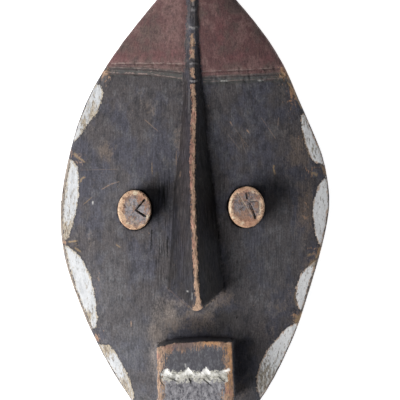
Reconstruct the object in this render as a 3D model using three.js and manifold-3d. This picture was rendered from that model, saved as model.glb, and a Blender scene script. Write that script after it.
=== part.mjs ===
// A carved wooden face mask, lying face up on the flat rim of its hollow back. Sizes are millimetres.
// +Y points to the top of the forehead, +X to the right of the face as it is looked at, +Z out of the face.
// The origin is on the plane under the rim, in the middle of the outline.
import * as THREE from "three";
import { mergeVertices } from "three/addons/utils/BufferGeometryUtils.js";
import Module from "manifold-3d";

const wasm = await Module();
wasm.setup();

// Board: a long lens in outline, arched across like the outside of a log, and hollowed behind.
const LENGTH = 460;
const WIDTH = 240;
const EDGE_HEIGHT = 16; // the side wall all round
const CROWN = 24; // rise of the face above its edge, where it is widest
const WALL = 14; // wood left between the face and the hollow
const RIM = 16; // the flat rim round the hollow
const WORN_EDGE = 2.5; // width of the rounded upper edge
const HOLLOW_HALF_LENGTH = 196;
// How squarely the hollow's ceiling falls to the rim, across and along: powers of the share of the way out.
const HOLLOW_SIDES = 6;
const HOLLOW_ENDS = 4;

// Edges of the outline as [y, x], from chin to forehead. The right side turns at a corner, the left is
// rounder.
const LEFT_EDGE = [
  [-230, -4], [-228, -7.5], [-222, -13], [-209, -22], [-187, -37], [-160, -55.5], [-133, -73.5],
  [-106, -88], [-79, -100.5], [-52, -110.5], [-25, -117.5], [2, -120], [28, -118.3], [55, -113],
  [82, -106], [109, -95.5], [136, -80.5], [162, -62.5], [189, -41], [210, -24], [222, -14.5],
  [228, -8.5], [230, -5],
];
const RIGHT_EDGE = [
  [-230, 4], [-228, 7.5], [-222, 13], [-209, 22], [-187, 38], [-160, 57.3], [-142, 69],
  [-115, 82.4], [-88, 93.2], [-61, 102], [-34, 110], [-7, 116.5], [14, 119.9], [28, 119.5],
  [55, 114.5], [82, 104], [109, 92.5], [136, 80.5], [162, 65.2], [189, 44], [210, 26],
  [222, 14.5], [228, 8.5], [230, 5],
];

// Nose: one long wedge, from the top of the forehead to an undercut tip.
const NOSE_TOP = 224;
const NOSE_BASE_END = -60; // where its two lower corners meet the face
const NOSE_OVERHANG = 15; // the tip reaches this far past them
const NOSE_SKEW = 2; // the left corner is this much higher than that line, the right corner lower
const NOSE_LEAN = 4; // power by which the overhang grows along the lower half
const NOSE_ROOT = 5; // depth of its skirt in the board
// The middle of the crest, its half width and its rise over the face, then the base, each as [y, size].
const CREST_X = [
  [-76, 2.5], [-66, 2.3], [-50, 1.1], [-24, 0], [2, -1.2], [28, -1.9], [54, -2.3], [81, -1.4], [104, -0.9],
  [122, -1.9], [230, -2],
];
const CREST_HALF = [[-76, 5.6], [-73, 4.4], [-69, 2.3], [-60, 2.1], [-20, 2.2], [100, 2.4], [230, 2.3]];
const CREST_RISE = [
  [-76, 46], [-60, 44], [-15, 36], [62, 21], [104, 12.8], [125, 7.2], [143, 5.2], [160, 4.1], [196, 3.5],
  [230, 2.2],
];
const NOSE_X = [[-60, 1.3], [0, -0.2], [60, -1.2], [106, -1.1], [125, -2.2], [230, -2.1]];
const NOSE_HALF = [
  [-60, 25.5], [-15, 21.5], [30, 17.5], [65, 13], [106, 10], [125, 8.7], [143, 7], [160, 6.1], [183, 5.3],
  [230, 4.6],
];

// Small carved marks on the crest, from the forehead down: a knob is a diamond, a ring a short bar.
const CREST_KNOBS = [187, 139];
const CREST_RINGS = [171, 123.3];
const KNOB = { width: 8, length: 6.4, height: 5, sunk: 0.4 };
const RING = { width: 8.6, length: 2.8, height: 7, sunk: 2.6 };

// Mouth: a block with its front face parallel to the back, and a hollow gouged between it and the nose.
const MOUTH_FRONT = 60; // height of the front face
const MOUTH_ROOT = 21; // where its base ends inside the board
const MOUTH_BASE = { side: 0, top: 2, bottom: -4 }; // how far its base reaches past the front
const MOUTH_OUTLINE = [
  [-33.4, -159], [35.2, -157.5], [32.6, -103.4], [8, -102.4], [-18, -104.3], [-33.3, -108.2],
];
const MOUTH_CHAMFER = 1;
const SCOOP_RADIUS = 130;
const SCOOP_SWEEP = 0.9; // the arc of the cut, in radians
const SCOOP_DEPTH = [[-126, -1], [-108, 9.5], [-60, 4.2], [-50, 3]]; // as [y, depth]
const SCOOP_X = 1.5;

// Teeth: knife-cut pits with three sides, in two rows along a shallow line.
const TEETH = { width: 9.2, height: 6, depth: 2.4 };
const TOOTH_BASE = 0.4; // share of its height below its middle
const TOOTH_FLOOR = 0.04; // share of its size at the bottom of the pit
const UPPER_TEETH = [[-24.7, -130], [-5.8, -129.6], [9.4, -129], [25.2, -128.2]];
const LOWER_TEETH = [[-16.5, -135], [-2.4, -135.2], [13.6, -134.4]];
const MOUTH_LINE = [[-29.5, -133, MOUTH_FRONT], [30.5, -131.2, MOUTH_FRONT]];
const MOUTH_LINE_CUT = { width: 1.6, depth: 1.2 };

// Brow: three cut lines on each side of the nose, each as [x, y] points.
const BROW_LINES = [
  [[-84, 140.4], [-40, 140], [-6, 138.8]],
  [[-84, 137.2], [-40, 134.9], [-6, 131.2]],
  [[-86, 132.8], [-40, 130.2], [-6, 125.6]],
  [[6, 132.2], [45, 134.4], [84, 137]],
  [[6, 127.8], [45, 129.6], [88, 132.2]],
  [[6, 123.3], [45, 125.2], [90, 127.6]],
];
const BROW_GROOVE = { width: 2.2, depth: 1.3 };

// White edge facets, cut aslant through the upper edge. Each has its side of the outline, the y of its two
// ends and its width inwards.
const FACETS = [
  { edge: LEFT_EDGE, ends: [70, 128], width: 12.5 },
  { edge: LEFT_EDGE, ends: [-21, 59], width: 15.5 },
  { edge: LEFT_EDGE, ends: [-98, -21], width: 16 },
  { edge: LEFT_EDGE, ends: [-159, -108], width: 12 },
  { edge: RIGHT_EDGE, ends: [49, 100], width: 8.5 },
  { edge: RIGHT_EDGE, ends: [-22, 43], width: 14 },
  { edge: RIGHT_EDGE, ends: [-83, -33], width: 13 },
  { edge: RIGHT_EDGE, ends: [-163, -89], width: 16 },
];
const FACET_SLOPE = 0.2; // depth at the edge for each millimetre of width
const FACET_REACH = 40; // the cutter runs this far in and out, past the wood on both sides
const FACET_SPREAD = 1.3; // and is this much longer than the facet
const FACET_HEADROOM = 15; // and clears this much above it

// Eyes: oval branch sections, each in a hole of its own, with a gap all round.
const EYES = {
  left_eye: { x: -52.2, y: 10.7, width: 29.6, length: 35, top: 65 },
  right_eye: { x: 44.8, y: 13.1, width: 31.8, length: 36.4, top: 64 },
};
const SOCKET_DEPTH = 8;
const SOCKET_GAP = 0.3;
const EYE_WORN_EDGE = 1.6;
const EYE_WORN_MIDDLE = 0.35; // share of the worn edge at its rounded middle
// Drying cracks across each eye's end, from its centre.
const EYE_CRACKS = {
  left_eye: [[[1.5, 0], [9.6, 9.6], [8.2, 14.4]], [[1.5, 0], [10.4, -6]]],
  right_eye: [[[-8, 12.5], [-0.6, 1.4]], [[2.2, 2.4], [8, -10.2]], [[-0.4, 12], [0.6, 7.2]]],
};
const CRACK = { width: 1.2, depth: 3 };

// Fineness of the meshes.
const STATIONS = 46;
const STATION_CROWDING = 0.4; // share by which they crowd towards the two ends
const ARCH_STEPS = 18;
const HOLLOW_STEPS = 14;
const NOSE_STEPS = 26;
const EYE_SIDES = 28;
const BROW_STEPS = 8;
const FACET_STEPS = 12;
const SCOOP_STEPS = 12;
const SCOOP_ROWS = 9;
const CUTTER_PROUD = 2; // how far a cutter stands out of the surface it cuts

// A smooth value along a list of [t, value] points, by cubic pieces whose slopes follow their neighbours.
function along(points, t) {
  const last = points.length - 1;
  if (t <= points[0][0]) return points[0][1];
  if (t >= points[last][0]) return points[last][1];
  let i = 0;
  while (t > points[i + 1][0]) i += 1;
  const slope = (k) => {
    const a = points[Math.max(k - 1, 0)];
    const b = points[Math.min(k + 1, last)];
    return (b[1] - a[1]) / (b[0] - a[0]);
  };
  const span = points[i + 1][0] - points[i][0];
  const s = (t - points[i][0]) / span;
  const s2 = s * s;
  const s3 = s2 * s;
  return (
    (2 * s3 - 3 * s2 + 1) * points[i][1] +
    (s3 - 2 * s2 + s) * span * slope(i) +
    (3 * s2 - 2 * s3) * points[i + 1][1] +
    (s3 - s2) * span * slope(i + 1)
  );
}

// The middle and half width of the outline at y.
function outlineAt(y) {
  const left = along(LEFT_EDGE, y);
  const right = along(RIGHT_EDGE, y);
  return { middle: (left + right) / 2, half: (right - left) / 2 };
}

// Height of the uncut face over a point.
function faceHeight(x, y) {
  const { middle, half } = outlineAt(y);
  const u = Math.min(Math.abs(x - middle) / half, 1);
  const crown = (CROWN * 2 * half) / WIDTH;
  return EDGE_HEIGHT + crown * (1 - u * u);
}

// Height of the hollow over a point, where s runs from -1 to 1 across it.
function hollowHeight(x, y, s) {
  const t = Math.min(Math.abs(y) / HOLLOW_HALF_LENGTH, 1);
  const ceiling = Math.max(faceHeight(x, y) - WALL, 0);
  return ceiling * (1 - s ** HOLLOW_SIDES) * (1 - t ** HOLLOW_ENDS);
}

// A closed skin over a row of rings with equally many points, each end closed by a fan.
function loft(rings) {
  const size = rings[0].length;
  const points = rings.flat();
  const faces = [];
  for (let r = 0; r + 1 < rings.length; r += 1) {
    for (let i = 0; i < size; i += 1) {
      const a = r * size + i;
      const b = r * size + ((i + 1) % size);
      faces.push([a, b, b + size], [a, b + size, a + size]);
    }
  }
  for (const [ring, start, turned] of [
    [rings[0], 0, true],
    [rings[rings.length - 1], (rings.length - 1) * size, false],
  ]) {
    const middle = [0, 1, 2].map((k) => ring.reduce((sum, p) => sum + p[k], 0) / size);
    const hub = points.push(middle) - 1;
    for (let i = 0; i < size; i += 1) {
      const a = start + i;
      const b = start + ((i + 1) % size);
      faces.push(turned ? [b, a, hub] : [a, b, hub]);
    }
  }
  const geometry = new THREE.BufferGeometry();
  geometry.setAttribute("position", new THREE.Float32BufferAttribute(points.flat(), 3));
  geometry.setIndex(faces.flat());
  return geometry;
}

// A closed geometry as a solid for joining and cutting.
function solid(geometry) {
  const bare = geometry.clone();
  bare.deleteAttribute("normal");
  bare.deleteAttribute("uv");
  const merged = mergeVertices(bare, 1e-4);
  const triVerts = new Uint32Array(merged.index.array);
  const make = () =>
    new wasm.Manifold(
      new wasm.Mesh({ numProp: 3, vertProperties: merged.attributes.position.array, triVerts }),
    );
  const made = make();
  if (made.volume() > 0) return made;
  for (let i = 0; i < triVerts.length; i += 3) {
    [triVerts[i + 1], triVerts[i + 2]] = [triVerts[i + 2], triVerts[i + 1]];
  }
  return make();
}

function union(solids) {
  return solids.reduce((all, next) => all.add(next));
}

// A solid as a named mesh with its own finish.
function asMesh(made, name, finish) {
  const { vertProperties, triVerts } = made.getMesh();
  const geometry = new THREE.BufferGeometry();
  geometry.setAttribute("position", new THREE.BufferAttribute(vertProperties, 3));
  geometry.setIndex(new THREE.BufferAttribute(triVerts, 1));
  geometry.computeVertexNormals();
  const mesh = new THREE.Mesh(geometry, new THREE.MeshStandardMaterial(finish));
  mesh.name = name;
  return mesh;
}

// One ring of the board at y: over the arched face, down the right wall, along the back, up the left wall.
function boardRing(y) {
  const { middle, half } = outlineAt(y);
  const worn = Math.min(WORN_EDGE, half / 4);
  const ring = [[middle - half, y, EDGE_HEIGHT - worn]];
  for (let i = 0; i <= ARCH_STEPS; i += 1) {
    const x = middle + (half - worn) * ((2 * i) / ARCH_STEPS - 1);
    ring.push([x, y, faceHeight(x, y)]);
  }
  ring.push([middle + half, y, EDGE_HEIGHT - worn], [middle + half, y, 0]);
  const inner = Math.max(half - RIM, half / 2);
  for (let i = 0; i <= HOLLOW_STEPS; i += 1) {
    const s = 1 - (2 * i) / HOLLOW_STEPS;
    const x = middle + inner * Math.sin((s * Math.PI) / 2);
    ring.push([x, y, hollowHeight(x, y, (x - middle) / inner)]);
  }
  ring.push([middle - half, y, 0]);
  return ring;
}

function makeBoard() {
  const rings = [];
  for (let j = 0; j <= STATIONS; j += 1) {
    const t = (2 * j) / STATIONS - 1;
    const eased = t + STATION_CROWDING * (Math.sin((t * Math.PI) / 2) - t);
    rings.push(boardRing((eased * LENGTH) / 2));
  }
  return solid(loft(rings));
}

// One ring of the nose. At its lower end the ring leans, so that the crest reaches past the base.
function noseRing(y, lean) {
  const crestY = y - lean;
  const crest = along(CREST_X, crestY);
  const flat = along(CREST_HALF, crestY);
  const base = along(NOSE_X, y);
  const half = along(NOSE_HALF, y);
  const top = faceHeight(crest, y) + along(CREST_RISE, crestY);
  const skew = (NOSE_SKEW * lean) / NOSE_OVERHANG;
  const left = [base - half, y + skew, faceHeight(base - half, y)];
  const right = [base + half, y - skew, faceHeight(base + half, y)];
  const drop = (lean * NOSE_ROOT) / (top - left[2]);
  return [
    [left[0], left[1] + drop, left[2] - NOSE_ROOT],
    left,
    [crest - flat, crestY, top],
    [crest + flat, crestY, top],
    right,
    [right[0], right[1] + drop, right[2] - NOSE_ROOT],
  ];
}

function makeNose() {
  const rings = [];
  for (let i = 0; i <= NOSE_STEPS; i += 1) {
    const t = i / NOSE_STEPS;
    const lean = NOSE_OVERHANG * Math.max(0, 2 * t - 1) ** NOSE_LEAN;
    rings.push(noseRing(NOSE_TOP + (NOSE_BASE_END - NOSE_TOP) * t, lean));
  }
  return solid(loft(rings));
}

// Height of the crest where it crosses y.
function crestHeight(y) {
  return faceHeight(along(CREST_X, y), y) + along(CREST_RISE, y);
}

// A shape of unit size as a mark on the crest at y.
function crestMark(shape, { width, length, height, sunk }, y) {
  shape.scale(width, length, height);
  shape.translate(along(CREST_X, y), y, crestHeight(y) - sunk);
  return solid(shape);
}

function makeCrestMarks() {
  return union([
    ...CREST_KNOBS.map((y) => crestMark(new THREE.OctahedronGeometry(0.5), KNOB, y)),
    ...CREST_RINGS.map((y) => crestMark(new THREE.CylinderGeometry(0.5, 0.5, 1, 10), RING, y)),
  ]);
}

function makeMouth() {
  const count = MOUTH_OUTLINE.length;
  const centre = [0, 1].map((k) => MOUTH_OUTLINE.reduce((sum, corner) => sum + corner[k], 0) / count);
  const ringAt = ({ side, top, bottom }, z) =>
    MOUTH_OUTLINE.map(([x, y]) => [
      x + side * Math.sign(x - centre[0]),
      y > centre[1] ? y + top : y - bottom,
      z,
    ]);
  return solid(
    loft([
      ringAt(MOUTH_BASE, MOUTH_ROOT),
      ringAt({ side: 0, top: 0, bottom: 0 }, MOUTH_FRONT - MOUTH_CHAMFER),
      ringAt({ side: -MOUTH_CHAMFER, top: -MOUTH_CHAMFER, bottom: -MOUTH_CHAMFER }, MOUTH_FRONT),
    ]),
  );
}

// The gouged hollow: part of a cylinder that sinks towards the mouth, and runs out beside it.
function makeScoop() {
  const bottom = SCOOP_DEPTH[0][0];
  const top = SCOOP_DEPTH[SCOOP_DEPTH.length - 1][0];
  const rings = [];
  for (let j = 0; j <= SCOOP_ROWS; j += 1) {
    const y = top + ((bottom - top) * j) / SCOOP_ROWS;
    const floor = faceHeight(0, y) - along(SCOOP_DEPTH, y);
    const ring = [];
    for (let i = 0; i <= SCOOP_STEPS; i += 1) {
      const angle = (i / SCOOP_STEPS - 0.5) * SCOOP_SWEEP;
      const x = SCOOP_X + SCOOP_RADIUS * Math.sin(angle);
      ring.push([x, y, floor + SCOOP_RADIUS * (1 - Math.cos(angle))]);
    }
    rings.push(ring);
  }
  return solid(loft(rings));
}

// A V-shaped cut along a row of [x, y, surface height] points.
function groove(points, { width, depth }) {
  const rings = points.map(([x, y, z], i) => {
    const before = points[Math.max(i - 1, 0)];
    const after = points[Math.min(i + 1, points.length - 1)];
    const forward = new THREE.Vector2(after[0] - before[0], after[1] - before[1]).normalize();
    const aside = [-forward.y * width, forward.x * width];
    return [
      [x, y, z - depth],
      [x + aside[0], y + aside[1], z + depth],
      [x - aside[0], y - aside[1], z + depth],
    ];
  });
  return solid(loft(rings));
}

// A brow line, bent over the face through its three points.
function browGroove(points) {
  const curve = new THREE.SplineCurve(points.map(([x, y]) => new THREE.Vector2(x, y)));
  return groove(
    curve.getPoints(BROW_STEPS).map((p) => [p.x, p.y, faceHeight(p.x, p.y)]),
    BROW_GROOVE,
  );
}

// A pit with three sides in the front of the mouth, its point towards +Y, or towards -Y when turned.
function tooth([x, y], turned) {
  const rise = turned ? -TEETH.height : TEETH.height;
  const ringAt = (grow, z) => [
    [x - (TEETH.width / 2) * grow, y - rise * TOOTH_BASE * grow, z],
    [x + (TEETH.width / 2) * grow, y - rise * TOOTH_BASE * grow, z],
    [x, y + rise * (1 - TOOTH_BASE) * grow, z],
  ];
  return solid(
    loft([
      ringAt(TOOTH_FLOOR, MOUTH_FRONT - TEETH.depth),
      ringAt(1, MOUTH_FRONT),
      ringAt(1 + CUTTER_PROUD / TEETH.depth, MOUTH_FRONT + CUTTER_PROUD),
    ]),
  );
}

// A slanting cut through the edge: part of a cylinder whose axis falls outwards, drawn over the chord
// between the facet's two ends.
function facetCutter({ edge, ends, width }) {
  const [low, high] = ends.map((y) => new THREE.Vector2(along(edge, y), y));
  const middle = low.clone().add(high).multiplyScalar(0.5);
  const side = Math.sign(middle.x);
  const chord = high.clone().sub(low);
  const halfLength = chord.length() / 2;
  const turn = Math.atan2(-chord.x, chord.y);
  const bulge = Math.abs(along(edge, middle.y) - middle.x) * Math.cos(turn);
  const depth = FACET_SLOPE * (width - bulge);
  const faceSlope = (4 * CROWN) / WIDTH;
  const tilt = Math.atan(FACET_SLOPE + faceSlope);
  const radius = (halfLength ** 2 + depth ** 2) / (2 * depth);
  const half = Math.asin((halfLength * FACET_SPREAD) / radius);
  const profile = new THREE.Shape();
  for (let i = 0; i <= FACET_STEPS; i += 1) {
    const angle = (i / FACET_STEPS - 0.5) * 2 * half;
    const point = [radius * Math.sin(angle), radius * (1 - Math.cos(angle))];
    if (i === 0) profile.moveTo(...point);
    else profile.lineTo(...point);
  }
  for (const end of [half, -half]) {
    profile.lineTo(radius * Math.sin(end), radius * (1 - Math.cos(end)) + FACET_HEADROOM);
  }
  profile.closePath();
  // The profile is drawn along the edge and upwards, and pushed inwards and up along the slope.
  const cutter = new THREE.ExtrudeGeometry(profile, { depth: 2 * FACET_REACH, bevelEnabled: false });
  cutter.translate(0, 0, -FACET_REACH);
  cutter.applyMatrix4(
    new THREE.Matrix4().makeBasis(
      new THREE.Vector3(0, side, 0),
      new THREE.Vector3(side * Math.sin(tilt), 0, Math.cos(tilt)),
      new THREE.Vector3(side * Math.cos(tilt), 0, -Math.sin(tilt)),
    ),
  );
  cutter.rotateZ(turn);
  cutter.translate(middle.x, middle.y, EDGE_HEIGHT - depth);
  return solid(cutter);
}

// An oval ring of an eye or its socket.
function oval({ x, y, width, length }, grow, z) {
  const ring = [];
  for (let i = 0; i < EYE_SIDES; i += 1) {
    const angle = (i / EYE_SIDES) * Math.PI * 2;
    ring.push([x + (width / 2 + grow) * Math.cos(angle), y + (length / 2 + grow) * Math.sin(angle), z]);
  }
  return ring;
}

function socketFloor(eye) {
  return faceHeight(eye.x, eye.y) - SOCKET_DEPTH;
}

function makeSocket(eye) {
  const floor = socketFloor(eye) - SOCKET_GAP;
  return solid(loft([oval(eye, SOCKET_GAP, floor), oval(eye, SOCKET_GAP, eye.top)]));
}

function makeEye(name) {
  const eye = EYES[name];
  const body = solid(
    loft([
      oval(eye, 0, socketFloor(eye)),
      oval(eye, 0, eye.top - EYE_WORN_EDGE),
      oval(eye, -EYE_WORN_EDGE * EYE_WORN_MIDDLE, eye.top - EYE_WORN_EDGE * EYE_WORN_MIDDLE),
      oval(eye, -EYE_WORN_EDGE, eye.top),
    ]),
  );
  const cracks = EYE_CRACKS[name].map((crack) =>
    groove(
      crack.map(([x, y]) => [eye.x + x, eye.y + y, eye.top]),
      CRACK,
    ),
  );
  return body.subtract(union(cracks));
}

function makeMaskBoard() {
  const faceCuts = [makeScoop(), ...BROW_LINES.map(browGroove), ...FACETS.map(facetCutter)];
  const face = makeBoard().subtract(union(faceCuts));
  const joined = union([face, makeNose(), makeCrestMarks(), makeMouth()]);
  const cuts = [
    ...UPPER_TEETH.map((at) => tooth(at, false)),
    ...LOWER_TEETH.map((at) => tooth(at, true)),
    groove(MOUTH_LINE, MOUTH_LINE_CUT),
    ...Object.values(EYES).map(makeSocket),
  ];
  return joined.subtract(union(cuts));
}

const mask = new THREE.Group();
mask.add(
  asMesh(makeMaskBoard(), "mask_board", { color: 0x4a494d, roughness: 0.75, metalness: 0 }),
  ...Object.keys(EYES).map((name) =>
    asMesh(makeEye(name), name, { color: 0x8f7763, roughness: 0.8, metalness: 0 }),
  ),
);

export default mask;
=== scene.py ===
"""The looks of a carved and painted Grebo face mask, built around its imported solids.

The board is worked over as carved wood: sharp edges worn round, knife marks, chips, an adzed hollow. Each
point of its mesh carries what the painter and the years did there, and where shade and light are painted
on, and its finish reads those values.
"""

import logging
import math
from collections.abc import Callable, Sequence
from dataclasses import dataclass, field
from enum import Enum, StrEnum
from functools import partial, reduce

import bmesh
import bpy
import numpy as np
from mathutils import Matrix, Vector, noise
from mathutils.bvhtree import BVHTree
from mathutils.kdtree import KDTree


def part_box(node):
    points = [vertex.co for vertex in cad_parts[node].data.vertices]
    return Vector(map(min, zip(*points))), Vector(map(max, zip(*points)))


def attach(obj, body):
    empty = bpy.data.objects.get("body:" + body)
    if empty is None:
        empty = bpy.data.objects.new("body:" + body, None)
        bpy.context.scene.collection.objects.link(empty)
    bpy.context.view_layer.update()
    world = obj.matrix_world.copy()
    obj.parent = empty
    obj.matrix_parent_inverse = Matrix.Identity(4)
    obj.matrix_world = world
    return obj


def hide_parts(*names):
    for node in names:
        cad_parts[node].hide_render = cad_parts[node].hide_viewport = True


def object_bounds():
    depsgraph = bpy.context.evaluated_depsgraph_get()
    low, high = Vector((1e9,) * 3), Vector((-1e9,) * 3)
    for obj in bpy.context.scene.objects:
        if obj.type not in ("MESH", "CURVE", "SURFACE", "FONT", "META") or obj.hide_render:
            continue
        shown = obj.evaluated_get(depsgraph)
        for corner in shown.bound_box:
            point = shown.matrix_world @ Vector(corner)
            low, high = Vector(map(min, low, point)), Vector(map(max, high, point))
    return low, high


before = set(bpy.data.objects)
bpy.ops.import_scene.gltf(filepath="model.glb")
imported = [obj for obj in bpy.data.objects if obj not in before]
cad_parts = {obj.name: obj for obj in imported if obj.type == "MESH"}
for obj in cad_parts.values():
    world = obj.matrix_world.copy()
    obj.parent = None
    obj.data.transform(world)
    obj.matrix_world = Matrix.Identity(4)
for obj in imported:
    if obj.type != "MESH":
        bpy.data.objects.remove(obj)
CAD_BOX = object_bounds()

MM = 0.001
BODY = "root"
FAR = -20.0

Triple = tuple[float, float, float]
Colour = Triple
Point = tuple[float, float]
Stations = Sequence[Point]
Socket = bpy.types.NodeSocket

log = logging.getLogger("grebo_mask")


class Side(Enum):
    """A side of the face as it is looked at, with the sign of its X."""

    LEFT = -1
    RIGHT = 1


class Mark(StrEnum):
    """A value that each point of a mesh carries for its finish."""

    BACK = "back"
    CONVEX = "convex_mm"
    WORN = "worn"
    CLAY = "clay_mm"
    STRIP = "strip_mm"
    STAIN = "stain"
    # rises from 0 on the left to 1 on the right: the clay there is painted lighter, as painted light, and its
    # borders more orange
    RIGHT_LIGHT_AND_TINT = "white"
    BROW = "brow_mm"
    NOSE = "nose_mm"
    CREST = "crest_mm"
    CREST_WORN = "crest_worn"
    # darkening of the nose's steep sides: darker paint on the left, painted shade on the right away from the
    # lamp
    FLANK_DARK_AND_SHADE = "flank_dark_and_shade"
    BROWN = "brown"
    # painted shade: where the eyes, the nose and the mouth block cast their shadows
    PAINTED_SHADE = "soot"
    DUST = "dust"
    CHALK = "chalk"
    FLECKS = "flecks"
    CRACKED = "cracked"
    RED = "red"
    DARK = "dark"
    TONE = "tone"
    ORANGE = "orange"
    LIP = "lip_mm"
    TOOTH = "tooth_mm"
    SMEAR = "smear"
    PALE = "pale"
    RIM = "rim_mm"
    RAYS = "rays"


class Line(StrEnum):
    """A kind of line drawn on a mesh, carried by its points as two values."""

    BROW = "brow_line"
    BROW_SHADE = "brow_shade"
    KNOB = "knob"
    SCRATCH = "scratch"
    RUB = "rub"
    CRACK = "crack"
    # pale dabs; on the eyes' rims some are painted highlight where the lamp falls
    DAB_AND_HIGHLIGHT = "dab_and_highlight"

    @property
    def across(self) -> str:
        """Name of the distance from the line's middle, in half widths."""
        return f"{self}_across"

    @property
    def share(self) -> str:
        """Name of the line's strength."""
        return f"{self}_share"


def along(stations: Stations, t: np.ndarray) -> np.ndarray:
    """Reads a smooth curve through stations, by cubic pieces whose slopes follow their neighbours.

    Args:
        stations: (position, value) pairs in rising order of position.
        t: positions to read at.

    Returns:
        The value at each position, held level past both ends.
    """
    x, y = np.array(stations, float).T
    before = np.maximum(np.arange(len(x)) - 1, 0)
    after = np.minimum(np.arange(len(x)) + 1, len(x) - 1)
    slope = (y[after] - y[before]) / (x[after] - x[before])
    t = np.clip(t, x[0], x[-1])
    i = np.clip(np.searchsorted(x, t) - 1, 0, len(x) - 2)
    span = x[i + 1] - x[i]
    s = (t - x[i]) / span
    rise = y[i] * (2 * s**3 - 3 * s**2 + 1) + y[i + 1] * (3 * s**2 - 2 * s**3)
    return rise + span * (slope[i] * (s**3 - 2 * s**2 + s) + slope[i + 1] * (s**3 - s**2))


def ease(values: np.ndarray, low: float, high: float) -> np.ndarray:
    """Eases from 0 at low to 1 at high."""
    t = np.clip((values - low) / (high - low), 0, 1)
    return t * t * (3 - 2 * t)


def ripple(points: np.ndarray, size: Triple, shift: float, octaves: int = 1) -> np.ndarray:
    """Reads smooth noise at points.

    Args:
        points: places, in millimetres.
        size: length of one swell along X, Y and Z, in millimetres.
        shift: moves the pattern, so that two uses differ.
        octaves: how many finer swells ride on the first.

    Returns:
        About -1 to 1 for each point.
    """
    scaled = points / np.array(size) + shift
    if octaves == 1:
        return np.array([noise.noise(Vector(p)) for p in scaled])
    return np.array([noise.fractal(Vector(p), 0.9, 2.0, octaves) for p in scaled])


def scallops(points: np.ndarray, size: Triple) -> np.ndarray:
    """Reads the depth of tool strokes: 0 on the ridges between them, 1 in the middle of each.

    Args:
        points: places, in millimetres.
        size: spacing of the strokes along X, Y and Z, in millimetres.

    Returns:
        The depth at each point.
    """
    scaled = points / np.array(size)
    nearest = np.array([noise.voronoi(Vector(p))[0][:2] for p in scaled])
    return np.clip(nearest[:, 1] - nearest[:, 0], 0, 1) ** 0.5


@dataclass(frozen=True)
class Patch:
    """A soft-edged oval place on the face, in millimetres, and how strongly something shows there."""

    x: float
    y: float
    wide: float
    tall: float
    strength: float = 1.0

    def over(self, points: np.ndarray) -> np.ndarray:
        """Share of the patch's strength at each point."""
        reach = ((points[:, 0] - self.x) / self.wide) ** 2 + ((points[:, 1] - self.y) / self.tall) ** 2
        return self.strength * np.exp(-reach)


def patches(*rows: tuple[float, ...]) -> tuple[Patch, ...]:
    """Makes patches from rows of x, y, width, height and strength."""
    return tuple(Patch(*row) for row in rows)


def gather(places: Sequence[Patch], points: np.ndarray) -> np.ndarray:
    """Strongest patch at each point."""
    return np.max([patch.over(points) for patch in places], axis=0)


@dataclass(frozen=True)
class Stroke:
    """A bent line on the face, in millimetres: a scratch, a crack or a rubbed streak."""

    points: tuple[Point, ...]
    half_width: float
    strength: float


def strokes(*rows: tuple[float | Point, ...]) -> tuple[Stroke, ...]:
    """Makes strokes from rows of half width, strength and corners."""
    return tuple(Stroke(tuple(corners), half_width, strength) for half_width, strength, *corners in rows)


class SharpEdges:
    """The sharp edges of a solid, to find how far a point is from one."""

    SPACING = 0.5 * MM
    SHORTEST = 0.05 * MM
    LEAST_TURN = math.radians(24.0)

    def __init__(self, solid: bmesh.types.BMesh, convex_only: bool) -> None:
        """Samples the solid's sharp edges.

        Args:
            solid: the merged solid.
            convex_only: leaves out inner corners.
        """
        self.starts: list[Vector] = []
        self.ends: list[Vector] = []
        samples: list[tuple[Vector, int]] = []
        for edge in solid.edges:
            if len(edge.link_faces) != 2 or edge.calc_length() < self.SHORTEST:
                continue
            turn = edge.calc_face_angle_signed()
            if (turn if convex_only else abs(turn)) < self.LEAST_TURN:
                continue
            a, b = (vert.co.copy() for vert in edge.verts)
            self.starts.append(a)
            self.ends.append(b)
            steps = max(1, math.ceil(edge.calc_length() / self.SPACING))
            samples += [(a.lerp(b, k / steps), len(self.starts) - 1) for k in range(steps + 1)]
        self.tree = KDTree(len(samples))
        for place, owner in samples:
            self.tree.insert(place, owner)
        self.tree.balance()

    def nearest(self, points: np.ndarray) -> tuple[np.ndarray, np.ndarray]:
        """Finds the closest place on a sharp edge.

        Args:
            points: places, in metres.

        Returns:
            The closest places and their distances, in metres.
        """
        owners = np.array([self.tree.find(Vector(p))[1] for p in points])
        a = np.array(self.starts)[owners]
        b = np.array(self.ends)[owners]
        run = b - a
        t = np.clip(np.sum((points - a) * run, axis=1) / np.maximum(np.sum(run * run, axis=1), 1e-12), 0, 1)
        closest = a + t[:, None] * run
        return closest, np.linalg.norm(points - closest, axis=1)


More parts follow.
